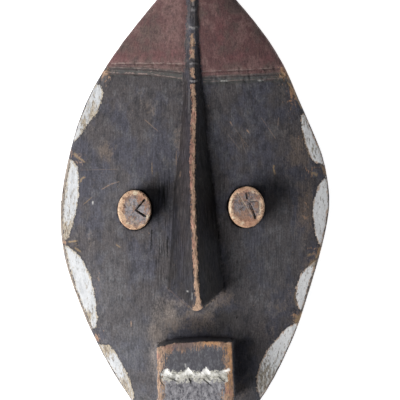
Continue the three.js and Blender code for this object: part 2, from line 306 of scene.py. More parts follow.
class Carving:
    """A fine mesh over one CAD solid, whose points are moved and marked all at once.

    SNAP is a share of its grid, and STRIDE the share of the way that a relaxed point goes at once. A stroke
    fades out over END_FADE millimetres at its ends, and between SIDE_FADE millimetres from its middle.
    """

    SNAP = 0.36
    STRIDE = 0.6
    END_FADE = 0.8
    SIDE_FADE = (3.5, 2.5)
    CUT_FADE = (1.4, 0.2)

    def __init__(self, node: str, name: str, grid_mm: float) -> None:
        """Wraps the solid in an even mesh.

        Args:
            node: the CAD node that the piece stands for.
            name: the piece's name.
            grid_mm: spacing of the mesh's points.
        """
        self.grid = grid_mm * MM
        solid = bmesh.new()
        solid.from_mesh(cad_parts[node].data)
        bmesh.ops.remove_doubles(solid, verts=solid.verts, dist=1e-6)
        solid.normal_update()
        self.tree = BVHTree.FromBMesh(solid)
        self.sharp = SharpEdges(solid, convex_only=False)
        self.convex = SharpEdges(solid, convex_only=True)
        mesh = bpy.data.meshes.new(name)
        solid.to_mesh(mesh)
        solid.free()
        self.piece = bpy.data.objects.new(name, mesh)
        bpy.context.scene.collection.objects.link(self.piece)
        wrap = self.piece.modifiers.new("wrap", "REMESH")
        wrap.mode = "VOXEL"
        wrap.voxel_size = self.grid
        shown = self.piece.evaluated_get(bpy.context.evaluated_depsgraph_get())
        self.piece.data = bpy.data.meshes.new_from_object(shown)
        self.piece.modifiers.clear()
        self.settle()

    @property
    def mesh(self) -> bpy.types.Mesh:
        """The piece's mesh."""
        return self.piece.data

    def points(self) -> np.ndarray:
        """The mesh's points, in millimetres."""
        flat = np.empty(len(self.mesh.vertices) * 3, np.float32)
        self.mesh.vertices.foreach_get("co", flat)
        return flat.reshape(-1, 3).astype(float) / MM

    def normals(self) -> np.ndarray:
        """The way out of the surface at each point."""
        flat = np.empty(len(self.mesh.vertices) * 3, np.float32)
        self.mesh.vertices.foreach_get("normal", flat)
        return flat.reshape(-1, 3).astype(float)

    def put(self, points: np.ndarray) -> None:
        """Moves the mesh's points to new places, in millimetres."""
        self.mesh.vertices.foreach_set("co", (points * MM).astype(np.float32).ravel())
        self.mesh.update()

    def mark(self, name: str, values: np.ndarray) -> None:
        """Writes a value on each point."""
        attribute = self.mesh.attributes.new(f"{name}", "FLOAT", "POINT")
        attribute.data.foreach_set("value", values.astype(np.float32))

    def draw(self, kind: Line, drawn: Sequence[Stroke], origin: Point = (0, 0)) -> np.ndarray:
        """Writes on each point where it is across the nearest stroke, and how strong that stroke is.

        Args:
            kind: the kind of line.
            drawn: the strokes of that kind.
            origin: the place that the strokes are measured from.

        Returns:
            How deep inside a stroke each point is, from 0 to 1.
        """
        p = self.points()[:, :2] - origin
        nearest = np.full(len(p), -FAR)
        across = np.full(len(p), FAR)
        share = np.zeros(len(p))
        for stroke in drawn:
            corners = [np.array(corner, float) for corner in stroke.points]
            for k, (start, end) in enumerate(zip(corners[:-1], corners[1:])):
                length = np.linalg.norm(end - start)
                run = (end - start) / length
                t = (p - start) @ run
                side = (p - start) @ np.array([-run[1], run[0]])
                before = -t if k == 0 else np.full(len(p), FAR)
                after = t - length if k == len(corners) - 2 else np.full(len(p), FAR)
                away = np.hypot(side, np.maximum(np.maximum(-t, t - length), 0))
                within = ease(np.maximum(before, after), self.END_FADE, -self.END_FADE)
                strength = within * ease(away, *self.SIDE_FADE)
                closer = away < nearest
                nearest[closer] = away[closer]
                across[closer] = side[closer] / stroke.half_width
                share[closer] = strength[closer] * stroke.strength
        self.mark(kind.across, across)
        self.mark(kind.share, share)
        return share * ease(np.abs(across), *self.CUT_FADE)

    def settle(self) -> None:
        """Puts every point back on the solid, and those beside a sharp edge on that edge."""
        points = self.points() * MM
        self.facing = np.empty_like(points)
        for i, point in enumerate(points):
            place, normal, _, _ = self.tree.find_nearest(Vector(point))
            points[i] = place
            self.facing[i] = normal
        closest, away = self.sharp.nearest(points)
        beside = away < self.SNAP * self.grid
        points[beside] = closest[beside]
        self.put(points / MM)

    def refine(self, wanted: Callable[[np.ndarray, np.ndarray], np.ndarray]) -> None:
        """Halves the spacing where the detail is fine.

        Args:
            wanted: says for each face, from its middle in millimetres and its normal, whether it is halved.
        """
        shape = bmesh.new()
        shape.from_mesh(self.mesh)
        middles = np.array([face.calc_center_median() for face in shape.faces]) / MM
        facing = np.array([face.normal for face in shape.faces])
        chosen = wanted(middles, facing)
        faces = [face for face, pick in zip(shape.faces, chosen) if pick]
        edges = list(dict.fromkeys(edge for face in faces for edge in face.edges))
        bmesh.ops.subdivide_edges(shape, edges=edges, cuts=1, use_grid_fill=True)
        shape.to_mesh(self.mesh)
        shape.free()
        self.grid /= 2
        self.settle()

    def relax(self, rounds: int, share: np.ndarray) -> None:
        """Smooths the mesh.

        Args:
            rounds: how often each point moves towards its neighbours.
            share: how freely each point moves, from 0 to 1.
        """
        points = self.points()
        share = self.STRIDE * share[:, None]
        ends = np.empty(len(self.mesh.edges) * 2, np.int64)
        self.mesh.edges.foreach_get("vertices", ends)
        a, b = ends.reshape(-1, 2).T
        count = np.bincount(np.concatenate([a, b]), minlength=len(points))[:, None]
        for _ in range(rounds):
            total = np.stack(
                [
                    np.bincount(a, points[b, k], len(points)) + np.bincount(b, points[a, k], len(points))
                    for k in range(3)
                ],
                axis=1,
            )
            points += share * (total / count - points)
        self.put(points)

    def clear_of_edges(self, clear: float, full: float) -> np.ndarray:
        """Eases from 0 at one distance from the solid's sharp edges to 1 at another, in millimetres."""
        _, away = self.sharp.nearest(self.points() * MM)
        return ease(away / MM, clear, full)

    def push(self, depth: np.ndarray) -> None:
        """Moves each point out of the surface by depth, in millimetres, and in where it is negative."""
        self.put(self.points() + self.normals() * depth[:, None])

    def keep_inside(self, low: Vector, high: Vector) -> None:
        """Holds the mesh inside a box, given in metres."""
        self.put(np.clip(self.points(), np.array(low) / MM, np.array(high) / MM))

    def finish(self, material: bpy.types.Material, slot: str, node: str) -> bpy.types.Object:
        """Dresses the piece, hangs it under the body's empty and hides its CAD node.

        Args:
            material: the finish.
            slot: not used.
            node: the CAD node that it stands for.

        Returns:
            The finished piece.
        """
        self.mesh.shade_smooth()
        self.mesh.materials.clear()
        self.mesh.materials.append(material)
        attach(self.piece, BODY)
        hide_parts(node)
        return self.piece


class Bench:
    """A material's node tree, with short calls for the nodes that the finishes share."""

    def __init__(self, name: str) -> None:
        """Starts an empty material that reads its own object's coordinates."""
        self.material = bpy.data.materials.new(name)
        self.material.use_nodes = True
        self.tree = self.material.node_tree
        self.tree.nodes.clear()
        self.place = self.add("ShaderNodeTexCoord").outputs["Object"]

    def add(self, kind: str, **settings: object) -> bpy.types.Node:
        """Adds a node with its settings."""
        made = self.tree.nodes.new(kind)
        for key, value in settings.items():
            setattr(made, key, value)
        return made

    def feed(self, socket: Socket, value: Socket | float | Colour | Vector) -> None:
        """Links a socket to another, or sets its own value."""
        if isinstance(value, bpy.types.NodeSocket):
            self.tree.links.new(value, socket)
        elif socket.type == "RGBA":
            socket.default_value = (*value, 1.0)
        else:
            socket.default_value = value

    def math(self, operation: str, first: Socket | float, second: Socket | float = 0.0) -> Socket:
        """Adds one sum and returns its result."""
        made = self.add("ShaderNodeMath", operation=operation)
        self.feed(made.inputs[0], first)
        self.feed(made.inputs[1], second)
        return made.outputs[0]

    def product(self, *values: Socket | float) -> Socket:
        """Multiplies several values."""
        return reduce(partial(self.math, "MULTIPLY"), values)

    def total(self, *values: Socket | float) -> Socket:
        """Adds several values up."""
        return reduce(partial(self.math, "ADD"), values)

    def most(self, *values: Socket | float) -> Socket:
        """Greatest of several values."""
        return reduce(partial(self.math, "MAXIMUM"), values)

    def step(self, value: Socket, low: float, high: float) -> Socket:
        """Eases from 0 where the value is low to 1 where it is high."""
        made = self.add("ShaderNodeMapRange", interpolation_type="SMOOTHSTEP", clamp=True)
        self.feed(made.inputs["Value"], value)
        made.inputs["From Min"].default_value = low
        made.inputs["From Max"].default_value = high
        return made.outputs[0]

    def blend(self, share: Socket | float, first: Socket | Colour, second: Socket | Colour) -> Socket:
        """Mixes two colours: the first where share is 0, the second where it is 1."""
        made = self.add("ShaderNodeMix", data_type="RGBA")
        self.feed(made.inputs[0], share)
        self.feed(made.inputs[6], first)
        self.feed(made.inputs[7], second)
        return made.outputs[2]

    def lay(
        self,
        colour: Socket | Colour,
        tint: Socket | Colour,
        pattern: Socket,
        low: float,
        high: float,
        strength: float = 1.0,
    ) -> Socket:
        """Lays a tint over a colour, rising to its full strength where a pattern is high."""
        share = self.step(pattern, low, high)
        return self.blend(share if strength == 1.0 else self.product(share, strength), colour, tint)

    def shade(self, colour: Socket | Colour, factor: Socket) -> Socket:
        """Multiplies a colour by a number, by mixing it with black."""
        made = self.add("ShaderNodeMix", data_type="RGBA", clamp_factor=False)
        self.feed(made.inputs[0], factor)
        self.feed(made.inputs[6], (0.0, 0.0, 0.0))
        self.feed(made.inputs[7], colour)
        return made.outputs[2]

    def noise(
        self,
        size: Triple,
        detail: float = 3.0,
        roughness: float = 0.55,
        shift: float = 0.0,
        turn: float = 0.0,
    ) -> Socket:
        """Adds a cloudy pattern.

        Args:
            size: its scale along X, Y and Z, in millimetres.
            detail: how many finer patterns ride on the first.
            roughness: how strong the finer ones are.
            shift: moves the pattern, so that two uses differ.
            turn: turns it about Z, in radians.

        Returns:
            Its value, about 0.5 on average.
        """
        mapping = self.add("ShaderNodeMapping", vector_type="TEXTURE")
        self.feed(mapping.inputs["Vector"], self.place)
        mapping.inputs["Rotation"].default_value = (0, 0, turn)
        mapping.inputs["Scale"].default_value = [s * MM for s in size]
        mapping.inputs["Location"].default_value = (shift * 0.1, shift * 0.07, shift * 0.04)
        made = self.add("ShaderNodeTexNoise")
        self.feed(made.inputs["Vector"], mapping.outputs[0])
        made.inputs["Scale"].default_value = 1.0
        made.inputs["Detail"].default_value = detail
        made.inputs["Roughness"].default_value = roughness
        return made.outputs[0]

    def swing(self, pattern: Socket, amount: float) -> Socket:
        """Turns a pattern around 0.5 into one around 0, of this amount each way."""
        return self.math("MULTIPLY", self.math("SUBTRACT", pattern, 0.5), 2 * amount)

    def factor(self, pattern: Socket, amount: float) -> Socket:
        """Turns a pattern around 0.5 into a factor around 1."""
        return self.math("ADD", self.swing(pattern, amount), 1.0)

    def read(self, name: str) -> Socket:
        """Reads a value that the mesh's points carry."""
        return self.add("ShaderNodeAttribute", attribute_name=f"{name}").outputs["Fac"]

    def line(self, kind: Line, ragged: Socket) -> Socket:
        """Share of a kind of line at each place.

        Args:
            kind: the kind of line.
            ragged: pattern in half widths that breaks its sides up.

        Returns:
            From 0 beside the lines to the strength of the nearest.
        """
        away = self.math("ADD", self.math("ABSOLUTE", self.read(kind.across)), ragged)
        return self.product(self.step(away, 1.3, 0.4), self.read(kind.share))

    def bump(self, height: Socket, depth_mm: float, strength: float = 1.0) -> Socket:
        """Turns a height pattern into a bent normal."""
        made = self.add("ShaderNodeBump")
        made.inputs["Strength"].default_value = strength
        made.inputs["Distance"].default_value = depth_mm * MM
        self.feed(made.inputs["Height"], height)
        return made.outputs[0]

    def done(self, colour: Socket, roughness: Socket, normal: Socket, specular: float) -> bpy.types.Material:
        """Closes the material with one surface shader.

        Args:
            colour: the base colour.
            roughness: how matte each place is.
            normal: the bumped normal.
            specular: the strength of its sheen.

        Returns:
            The finished material.
        """
        surface = self.add("ShaderNodeBsdfPrincipled")
        self.feed(surface.inputs["Base Color"], colour)
        self.feed(surface.inputs["Roughness"], roughness)
        self.feed(surface.inputs["Normal"], normal)
        surface.inputs["Specular IOR Level"].default_value = specular
        out = self.add("ShaderNodeOutputMaterial")
        self.tree.links.new(surface.outputs[0], out.inputs[0])
        return self.material


@dataclass(frozen=True)
class Patterns:
    """The patterns that the layers of one finish share."""

    grain: Socket
    speck: Socket
    blotch: Socket
    cloud: Socket


# The brow grooves; the forehead paint lays a painted highlight on worn wood along their lit upper edges.
BROW_LINES = strokes(
    (0.6, 1.0, (-84, 140.4), (-40, 140.0), (-9, 138.9)),
    (0.5, 0.7, (-84, 137.2), (-40, 134.9), (-9, 131.4)),
    (0.6, 0.9, (-86, 132.8), (-40, 130.2), (-9, 125.8)), (0.55, 0.7, (6, 132.0), (45, 134.4), (84, 137.0)),
    (0.5, 0.5, (6, 127.6), (45, 129.6), (88, 132.2)), (0.5, 0.5, (6, 123.1), (45, 125.2), (90, 127.6)),
)
# Painted shade under the brow grooves.
BROW_SHADES = strokes(
    (1.0, 0.9, (-70, 138.9), (-52, 138.8)), (0.5, 0.7, (-84, 136.0), (-40, 133.7), (-8, 130.0)),
    (0.6, 0.7, (-80, 131.3), (-40, 128.9), (-24, 126.6)), (0.5, 0.6, (12, 131.2), (45, 133.3), (84, 136.0)),
    (0.5, 0.6, (12, 126.6), (45, 128.4), (88, 131.0)), (0.7, 0.9, (60, 125.3), (70, 125.6)),
)
KNOBS = strokes(
    (0.5, 0.8, (-1.6, 195.2), (-1.7, 190.0)), (2.0, 0.9, (-1.2, 188.6), (-1.2, 185.6)),
    (1.0, 1.0, (-5.0, 171.8), (-1.2, 170.6), (2.6, 171.8)), (1.6, 0.7, (-1.2, 170.4), (-1.2, 169.0)),
    (1.0, 0.6, (-4.6, 138.6), (-1.0, 139.4), (2.4, 138.8)),
    (1.0, 1.0, (-4.4, 123.8), (-1.0, 122.8), (2.0, 123.9)), (0.4, 0.4, (-5.0, 116.5), (-5.2, 95.0)),
)
SCRATCHES = strokes(
    (0.4, 0.35, (-81.9, 28.7), (-74.3, 33.1), (-66.7, 35.4)), (0.4, 0.25, (-44.0, 89.8), (-32.6, 79.8)),
    (0.4, 0.12, (-100.7, 45.7), (-67.9, 46.3)), (0.4, 0.2, (58.3, 91.8), (71.2, 73.1)),
    (0.4, 0.25, (74.1, 91.8), (73.1, 84.9)), (0.6, 0.6, (45.7, 81.0), (47.6, 78.1)),
    (0.5, 0.5, (31.0, 88.0), (32.7, 84.9)), (0.4, 0.3, (-16.3, 62.1), (-16.3, 49.5)),
    (0.6, 0.5, (-12.5, 44.0), (-13.0, 39.5)), (0.5, 0.5, (-56.1, -87.5), (-56.1, -91.9)),
    (0.6, 0.12, (-25.0, -57.0), (-14.0, -67.5), (-7.0, -74.0)), (0.35, 0.14, (29.0, 77.0), (39.0, 64.0)),
    (0.35, 0.14, (35.0, 82.0), (47.0, 66.0)), (0.35, 0.14, (40.0, 74.0), (45.0, 60.0)),
)
RUBBED_STREAKS = strokes(
    (0.7, 0.7, (-101.8, 35.2), (-99.4, 38.6), (-97.0, 39.6)), (0.8, 0.6, (-103.2, 57.1), (-97.4, 52.7)),
    (1.2, 0.6, (-107.0, 60.8), (-103.3, 56.5)), (0.7, 0.75, (-112.4, -17.8), (-104.0, -17.0)),
    (0.5, 0.35, (-98.2, 15.5), (-90.7, 21.8)), (0.5, 0.35, (-37.7, 52.0), (-37.4, 41.9)),
    (0.7, 0.75, (69.1, 50.1), (70.1, 42.2)), (0.6, 0.5, (-69.2, -19.8), (-65.4, -22.3)),
    (1.4, 0.4, (-6.0, -73.4), (-1.5, -76.4)), (0.9, 0.25, (16.5, -67.4), (8.8, -75.0)),
    (0.8, 0.5, (-106.5, -23.0), (-101.0, -26.5)), (1.2, 0.6, (102.5, 43.5), (108.5, 41.5)),
    (1.0, 0.5, (99.6, -30.0), (104.4, -28.6)),
    (0.8, 0.7, (82.0, 124.0), (86.0, 117.5), (90.5, 109.0), (94.8, 100.5)),
    (1.2, 0.6, (76.0, 133.0), (79.0, 129.0)), (1.0, 0.7, (111.0, 50.5), (114.5, 46.0), (117.3, 41.5)),
    (1.1, 0.85, (111.4, -22.0), (109.6, -27.0), (107.6, -32.5)), (1.3, 0.9, (107.5, -33.6), (101.0, -38.8)),
    (1.7, 1.0, (95.0, -81.0), (91.8, -85.5), (88.8, -90.0)),
    (0.7, 0.5, (89.5, -60.0), (88.0, -67.0), (90.0, -74.0)),
    (0.6, 0.4, (94.3, 84.0), (97.5, 69.0), (101.5, 57.0)),
)
CRACKS = strokes(
    (0.55, 0.95, (-37.7, -6.3), (-38.1, -14.0), (-38.5, -24.8)), (0.5, 0.9, (-23.7, -12.5), (-24.2, -31.9)),
    (0.35, 0.6, (-31.8, -31.9), (-32.0, -56.6)), (0.4, 0.6, (-45.1, -48.7), (-45.8, -58.4)),
    (0.5, 0.85, (-27.6, -127.8), (-29.6, -131.0), (-30.0, -137.2), (-26.6, -141.8)),
    (0.5, 0.7, (-23.5, -134.4), (-18.0, -136.6), (-13.5, -139.2)),
    (0.85, 0.95, (-5.0, -135.0), (-3.2, -139.6)), (0.65, 0.9, (7.2, -135.6), (13.8, -141.4)),
    (0.7, 0.8, (20.4, -133.6), (26.0, -138.4)),
)
WHITE_DABS = strokes(
    (0.6, 0.6, (-90.1, 17.9), (-90.1, 15.7)), (0.8, 0.3, (-7.0, -59.0), (-5.6, -59.4)),
    (0.6, 0.16, (-2.2, -60.5), (-2.3, -66.5)), (0.9, 0.35, (22.7, 124.0), (28.6, 124.2)),
    (0.9, 0.35, (55.5, 124.6), (60.5, 124.9)), (0.8, 0.9, (-16.8, -136.2), (-15.4, -136.2)),
    (0.9, 1.0, (11.8, -137.2), (13.2, -138.0)), (0.8, 0.35, (-8.4, -122.6), (-7.8, -126.0)),
    (1.3, 0.85, (21.5, -130.2), (30.5, -127.6)), (1.5, 0.45, (-22.6, -133.6), (-9.0, -132.8)),
    (1.3, 0.4, (-1.0, -132.4), (20.0, -131.4)),
)
STROKES: dict[Line, tuple[Stroke, ...]] = {
    Line.BROW: BROW_LINES,
    Line.BROW_SHADE: BROW_SHADES,
    Line.KNOB: KNOBS,
    Line.SCRATCH: SCRATCHES,
    Line.RUB: RUBBED_STREAKS,
    Line.CRACK: CRACKS,
    Line.DAB_AND_HIGHLIGHT: WHITE_DABS,
}
PLACES: dict[Mark, tuple[Patch, ...]] = {
    Mark.WORN: patches(
        (-80, 131, 6, 8, 0.5), (86, 121, 7, 17, 0.42), (97, 100, 5, 12, 0.25), (-113, 62, 5, 8, 0.6),
        (-115, -18, 6, 4, 0.6), (112, 46, 8, 8, 0.5), (113, -28, 5, 6, 0.8), (-87, -102, 6, 6, 0.5),
        (2, -72, 16, 7, 0.4),
    ),
    Mark.FLECKS: patches(
        (-78, 128, 6, 7, 0.9), (79, 131, 9, 8, 1.5), (87, 114, 6, 18, 1.3), (-104, 55, 7, 9, 0.9),
        (94, 76, 5, 20, 0.6), (98, 8, 5, 18, 0.7), (102, 44, 12, 10, 0.6), (106, -28, 7, 9, 0.9),
        (91, -85, 7, 8, 1.6), (84, -60, 5, 14, 0.5), (-86, -58, 5, 12, 0.6), (-86, -103, 8, 8, 0.7),
        (-40, -12, 14, 8, 0.2),
    ),
    Mark.BROWN: patches(
        (-77, 61, 8, 11, 0.9), (-45, 100, 11, 11, 0.5), (-72, 98, 9, 8, 0.3), (90, 62, 13, 20, 0.9),
        (78, 112, 14, 12, 0.3), (98, 10, 9, 26, 1.1), (102, -38, 12, 14, 0.6), (80, -72, 14, 26, 0.4),
        (66, -95, 16, 14, 0.5), (-20, -92, 14, 10, 0.5), (6, -88, 26, 10, 0.7), (24, -68, 12, 10, 0.8),
        (-10, 160, 5, 50, 0.5), (-14, 60, 4, 60, 0.4), (-90, 90, 8, 30, 0.3), (-98, -20, 12, 10, 0.4),
        (-88, -60, 6, 26, 0.35), (40, -150, 12, 20, 0.4),
    ),
    # Painted shade, mostly in the cast shadows of the eyes, the nose and the mouth block and in the scoop
    # above the mouth.
    Mark.PAINTED_SHADE: patches(
        (-28, 28, 12, 30, 0.25), (-22, -5, 12, 28, 0.15), (10, -92, 26, 12, 0.85), (27, -84, 17, 15, 1.15),
        (18, 40, 10, 40, 0.3), (60, 30, 20, 16, 0.3), (40, -120, 8, 18, 0.7), (-94, 42, 6, 14, 0.25),
    ),
    Mark.DUST: patches(
        (-78, -60, 26, 30, 0.5), (-52, -110, 26, 34, 0.6), (-60, -160, 30, 24, 0.6),
        (-24, -86, 13, 12, 0.9), (-18, 180, 12, 40, 0.9), (-30, 205, 18, 16, 0.5), (-70, 20, 20, 30, 0.3),
        (18, 70, 5, 26, 0.3), (62, -32, 34, 42, 0.4), (60, -150, 16, 20, 0.5),
    ),
    Mark.CHALK: patches(
        (-24, -82, 12, 13, 0.9), (-34, -98, 8, 12, 0.7), (-16, -72, 8, 5, 0.6), (0, -82, 14, 4, 0.5),
        (16, -74, 6, 6, 0.35), (-36, -120, 5, 26, 0.4),
    ),
    Mark.CRACKED: patches(
        (-27, 18, 10, 32, 1.0), (-30, -30, 12, 36, 0.7), (28, 10, 7, 30, 0.5), (60, -20, 14, 30, 0.2),
    ),
    Mark.RED: patches(
        (-8, 60, 7, 70, 1.0), (-10, -10, 8, 40, 0.6), (-21, -109.5, 6, 4.5, 1.0), (-6, -106.5, 5, 3, 0.6),
        (29, -150, 6, 14, 0.5), (-4, -72, 3, 3, 1.0), (22, 165, 5, 20, 0.9), (36, 146, 10, 7, 0.9),
        (66, 144, 10, 7, 0.7), (-30, 147, 26, 7, 0.7), (-66, 146, 14, 6, 0.6), (50, 160, 8, 8, 0.4),
    ),
    Mark.DARK: patches(
        (-9, -107.0, 13, 5, 1.2), (32, -146, 3, 12, 0.5), (32, 192, 12, 9, 0.9), (33, 172, 4, 7, 0.7),
        (58, 172, 6, 12, 0.6), (-62, 158, 12, 12, 0.5), (-42, 176, 8, 14, 0.4), (46, 152, 6, 5, 0.5),
        (-20, 218, 20, 10, 0.6),
    ),
    Mark.STAIN: patches(
        (-91, 98, 4, 11, 0.85), (-98, 84, 4, 11, 0.7), (-113, -8, 5, 12, 0.9), (-114, 36, 3, 18, 0.35),
        (97, 80, 3, 18, 0.35), (104, 62, 4, 8, 0.35), (-96, -84, 7, 6, 0.9), (-78, -113, 8, 7, 1.0),
        (-60, -146, 7, 18, 0.8), (107, -38, 6, 5, 0.9), (62, -138, 13, 20, 0.8),
    ),
}
ORANGE_BORDERS = patches(
    (30, -112, 9, 9, 1.2), (30, -135, 8, 26, 1.0), (14, -105, 20, 5, 0.8), (-22, -107, 7, 5, 0.35),
)


@dataclass(frozen=True)
class PaintedWood:
    """The board's finish: soot-black, maroon and white clay paint over pale wood, worn off along edges."""

    slate: Colour = (0.073, 0.072, 0.091)
    umber: Colour = (0.083, 0.075, 0.079)
    soot: Colour = (0.036, 0.036, 0.042)
    plum: Colour = (0.115, 0.075, 0.085)
    dust: Colour = (0.150, 0.152, 0.166)
    brown_film: Colour = (0.138, 0.110, 0.096)
    brown_dust: Colour = (0.175, 0.150, 0.138)
    maroon: Colour = (0.140, 0.074, 0.075)
    maroon_dusty: Colour = (0.245, 0.150, 0.142)
    maroon_dark: Colour = (0.092, 0.058, 0.063)
    maroon_olive: Colour = (0.122, 0.098, 0.088)
    maroon_red: Colour = (0.185, 0.078, 0.084)
    maroon_shade: Colour = (0.080, 0.062, 0.058)
    chalk: Colour = (0.270, 0.230, 0.208)
    # painted highlight on worn wood, along the brow grooves' lit upper edges
    brow_highlight: Colour = (0.310, 0.235, 0.215)
    olive: Colour = (0.090, 0.090, 0.082)
    panel: Colour = (0.088, 0.086, 0.100)
    lip_lilac: Colour = (0.250, 0.243, 0.262)
    lip_white: Colour = (0.420, 0.410, 0.430)
    smear_cream: Colour = (0.640, 0.625, 0.570)
    smear_olive: Colour = (0.300, 0.285, 0.235)
    tooth_white: Colour = (0.880, 0.870, 0.840)
    knob_grey: Colour = (0.260, 0.245, 0.250)
    clay: Colour = (0.560, 0.572, 0.590)
    # lighter clay for the right side: painted light, since those facets face away from the lamp
    clay_lit_right: Colour = (0.960, 0.965, 0.975)
    clay_grey: Colour = (0.350, 0.365, 0.385)
    clay_cream: Colour = (0.400, 0.325, 0.220)
    wood_red: Colour = (0.230, 0.110, 0.080)
    wood_tan: Colour = (0.520, 0.350, 0.245)
    wood_orange: Colour = (0.500, 0.262, 0.118)
    wood_gold: Colour = (0.420, 0.295, 0.165)
    wood_salmon: Colour = (0.330, 0.170, 0.135)
    wood_mauve: Colour = (0.130, 0.104, 0.112)
    wood_dirt: Colour = (0.085, 0.060, 0.048)
    strip: Colour = (0.400, 0.340, 0.285)
    crack_black: Colour = (0.006, 0.006, 0.007)
    hollow: Colour = (0.135, 0.083, 0.052)
    hollow_dark: Colour = (0.070, 0.045, 0.031)
    roughness_low: float = 0.6
    roughness_high: float = 0.85
    specular: float = 0.2
    hair_turns: tuple[float, ...] = (0.62, -0.55, 1.25, -0.08)

    def build(self) -> bpy.types.Material:
        """Makes the board's material, layer by layer."""
        b = Bench("painted_wood")
        n = Patterns(
            grain=b.noise((0.9, 24, 0.9), 4, 0.6, 3.0),
            speck=b.noise((1.2, 1.8, 1.2), 3, 0.65, 9.0),
            blotch=b.noise((6, 9, 6), 4, 0.62, 5.0),
            cloud=b.noise((24, 32, 24), 3, 0.6, 1.0),
        )
        shown = self.charcoal_paint(b, n)
        shown = self.forehead_paint(b, n, shown)
        wood = self.bare_wood(b, n)
        shown = self.wear(b, n, shown, wood)
        shown = self.clay_paint(b, n, shown)
        shown = self.mouth_paint(b, n, shown, wood)
        shown = b.blend(b.line(Line.CRACK, b.swing(n.speck, 1.2)), shown, self.crack_black)
        shown = self.hollow_wood(b, n, shown)
        height = b.total(b.product(n.grain, 0.45), b.product(n.speck, 0.35), b.product(n.blotch, 0.5))
        relief = b.bump(height, 0.5, 0.55)
        matte = b.add("ShaderNodeMapRange")
        b.feed(matte.inputs["Value"], n.blotch)
        matte.inputs["To Min"].default_value = self.roughness_low
        matte.inputs["To Max"].default_value = self.roughness_high
        return b.done(shown, matte.outputs[0], relief, self.specular)

    def hairs(self, b: Bench, colour: Socket, tint: Colour, strength: float, shift: float) -> Socket:
        """Scatters hair-fine scratches in several directions over a colour."""
        for i, turn in enumerate(self.hair_turns):
            hair = b.noise((0.6, 13, 13), 1, 0.5, shift + i, turn)
            colour = b.lay(colour, tint, hair, 0.64, 0.76, strength)
        return colour

    def charcoal_paint(self, b: Bench, n: Patterns) -> Socket:
        """Soot-black paint with a dusty bloom, brown films, scratches and drying cracks."""
        haze = b.noise((9, 14, 9), 4, 0.68, 13.0)
        colour = b.blend(b.step(n.cloud, 0.42, 0.58), self.slate, self.umber)
        colour = b.lay(colour, self.soot, n.blotch, 0.50, 0.64, 0.6)
        dusty = b.total(b.product(b.step(haze, 0.50, 0.66), 0.4), b.product(b.read(Mark.DUST), 0.6))
        colour = b.blend(dusty, colour, self.dust)
        chalk = b.total(b.read(Mark.CHALK), b.swing(haze, 0.8), b.swing(n.speck, 0.2))
        chalk = b.product(b.step(chalk, 0.0, 0.9), b.step(b.read(Mark.CHALK), 0.0, 0.25), 0.9)
        colour = b.blend(chalk, colour, self.chalk)
        film = b.total(b.read(Mark.BROWN), b.swing(haze, 1.2), b.swing(n.speck, 0.5))
        colour = b.lay(colour, self.brown_film, film, 0.25, 0.9, 0.8)
        plum = b.product(b.read(Mark.RED), b.read(Mark.FLANK_DARK_AND_SHADE), 0.5)
        colour = b.blend(plum, colour, self.plum)
        colour = b.shade(colour, b.factor(n.grain, 0.75))
        colour = b.shade(colour, b.factor(n.speck, 0.85))
        colour = self.hairs(b, colour, self.brown_dust, 0.25, 40.0)
        fleck = b.noise((1.3, 1.9, 1.3), 2, 0.5, 71.0)
        colour = b.lay(colour, self.brown_dust, fleck, 0.70, 0.82, 0.3)
        colour = b.blend(b.line(Line.SCRATCH, b.swing(n.speck, 2.4)), colour, self.wood_tan)
        split = b.noise((0.8, 26, 0.8), 2, 0.5, 21.0)
        dark = b.product(b.step(split, 0.53, 0.62), b.read(Mark.CRACKED))
        colour = b.blend(dark, colour, self.crack_black)
        colour = b.shade(colour, b.total(1.0, b.product(b.swing(n.grain, 2.2), b.read(Mark.FLANK_DARK_AND_SHADE))))
        # Painted shade: darker on the nose's sides and in the patches where shadows fall.
        shaded = b.total(1.0, b.product(b.read(Mark.FLANK_DARK_AND_SHADE), -1.0), b.product(b.read(Mark.PAINTED_SHADE), -0.6))
        return b.shade(colour, shaded)

    def forehead_paint(self, b: Bench, n: Patterns, paint: Socket) -> Socket:
        """Maroon paint above the brow lines and beside the nose; along each line, a painted highlight on worn
        wood above, and painted shade below.
        """
        haze = b.noise((9, 12, 9), 4, 0.66, 17.0)
        mottle = b.noise((3, 5, 3), 4, 0.68, 19.0)
        colour = b.blend(b.step(haze, 0.46, 0.64), self.maroon, self.maroon_dusty)
        colour = b.lay(colour, self.maroon_olive, n.cloud, 0.48, 0.62, 0.6)
        colour = b.blend(b.product(b.read(Mark.DUST), 0.6), colour, self.maroon_dusty)
        red = b.step(b.total(b.read(Mark.RED), b.swing(haze, 1.4)), 0.1, 0.85)
        colour = b.blend(b.product(red, 0.65), colour, self.maroon_red)
        dark = b.step(b.total(b.read(Mark.DARK), b.swing(haze, 1.6)), 0.15, 0.85)
        colour = b.blend(b.product(dark, 0.75), colour, self.maroon_shade)
        colour = b.lay(colour, self.maroon_dark, mottle, 0.50, 0.66, 0.55)
        colour = b.shade(colour, b.factor(n.grain, 0.45))
        colour = b.shade(colour, b.factor(n.speck, 0.7))
        colour = self.hairs(b, colour, self.wood_tan, 0.1, 50.0)
        above = b.step(b.total(b.read(Mark.BROW), b.swing(n.blotch, 2.0)), -1.2, 1.0)
        aside = b.step(b.total(b.read(Mark.NOSE), b.swing(n.speck, 4.0), b.swing(n.blotch, 3.0)), -0.9, 0.9)
        colour = b.blend(b.product(above, aside), paint, colour)
        near = b.step(b.read(Mark.BROW), -9.0, -6.0)
        near = b.product(near, b.step(b.read(Mark.BROW), 2.0, -0.5), b.step(b.read(Mark.NOSE), 0.0, 1.0))
        colour = b.blend(b.product(near, 0.6), colour, self.olive)
        patchy = b.product(b.step(b.noise((7, 3, 7), 3, 0.6, 44.0), 0.40, 0.56), 0.9)
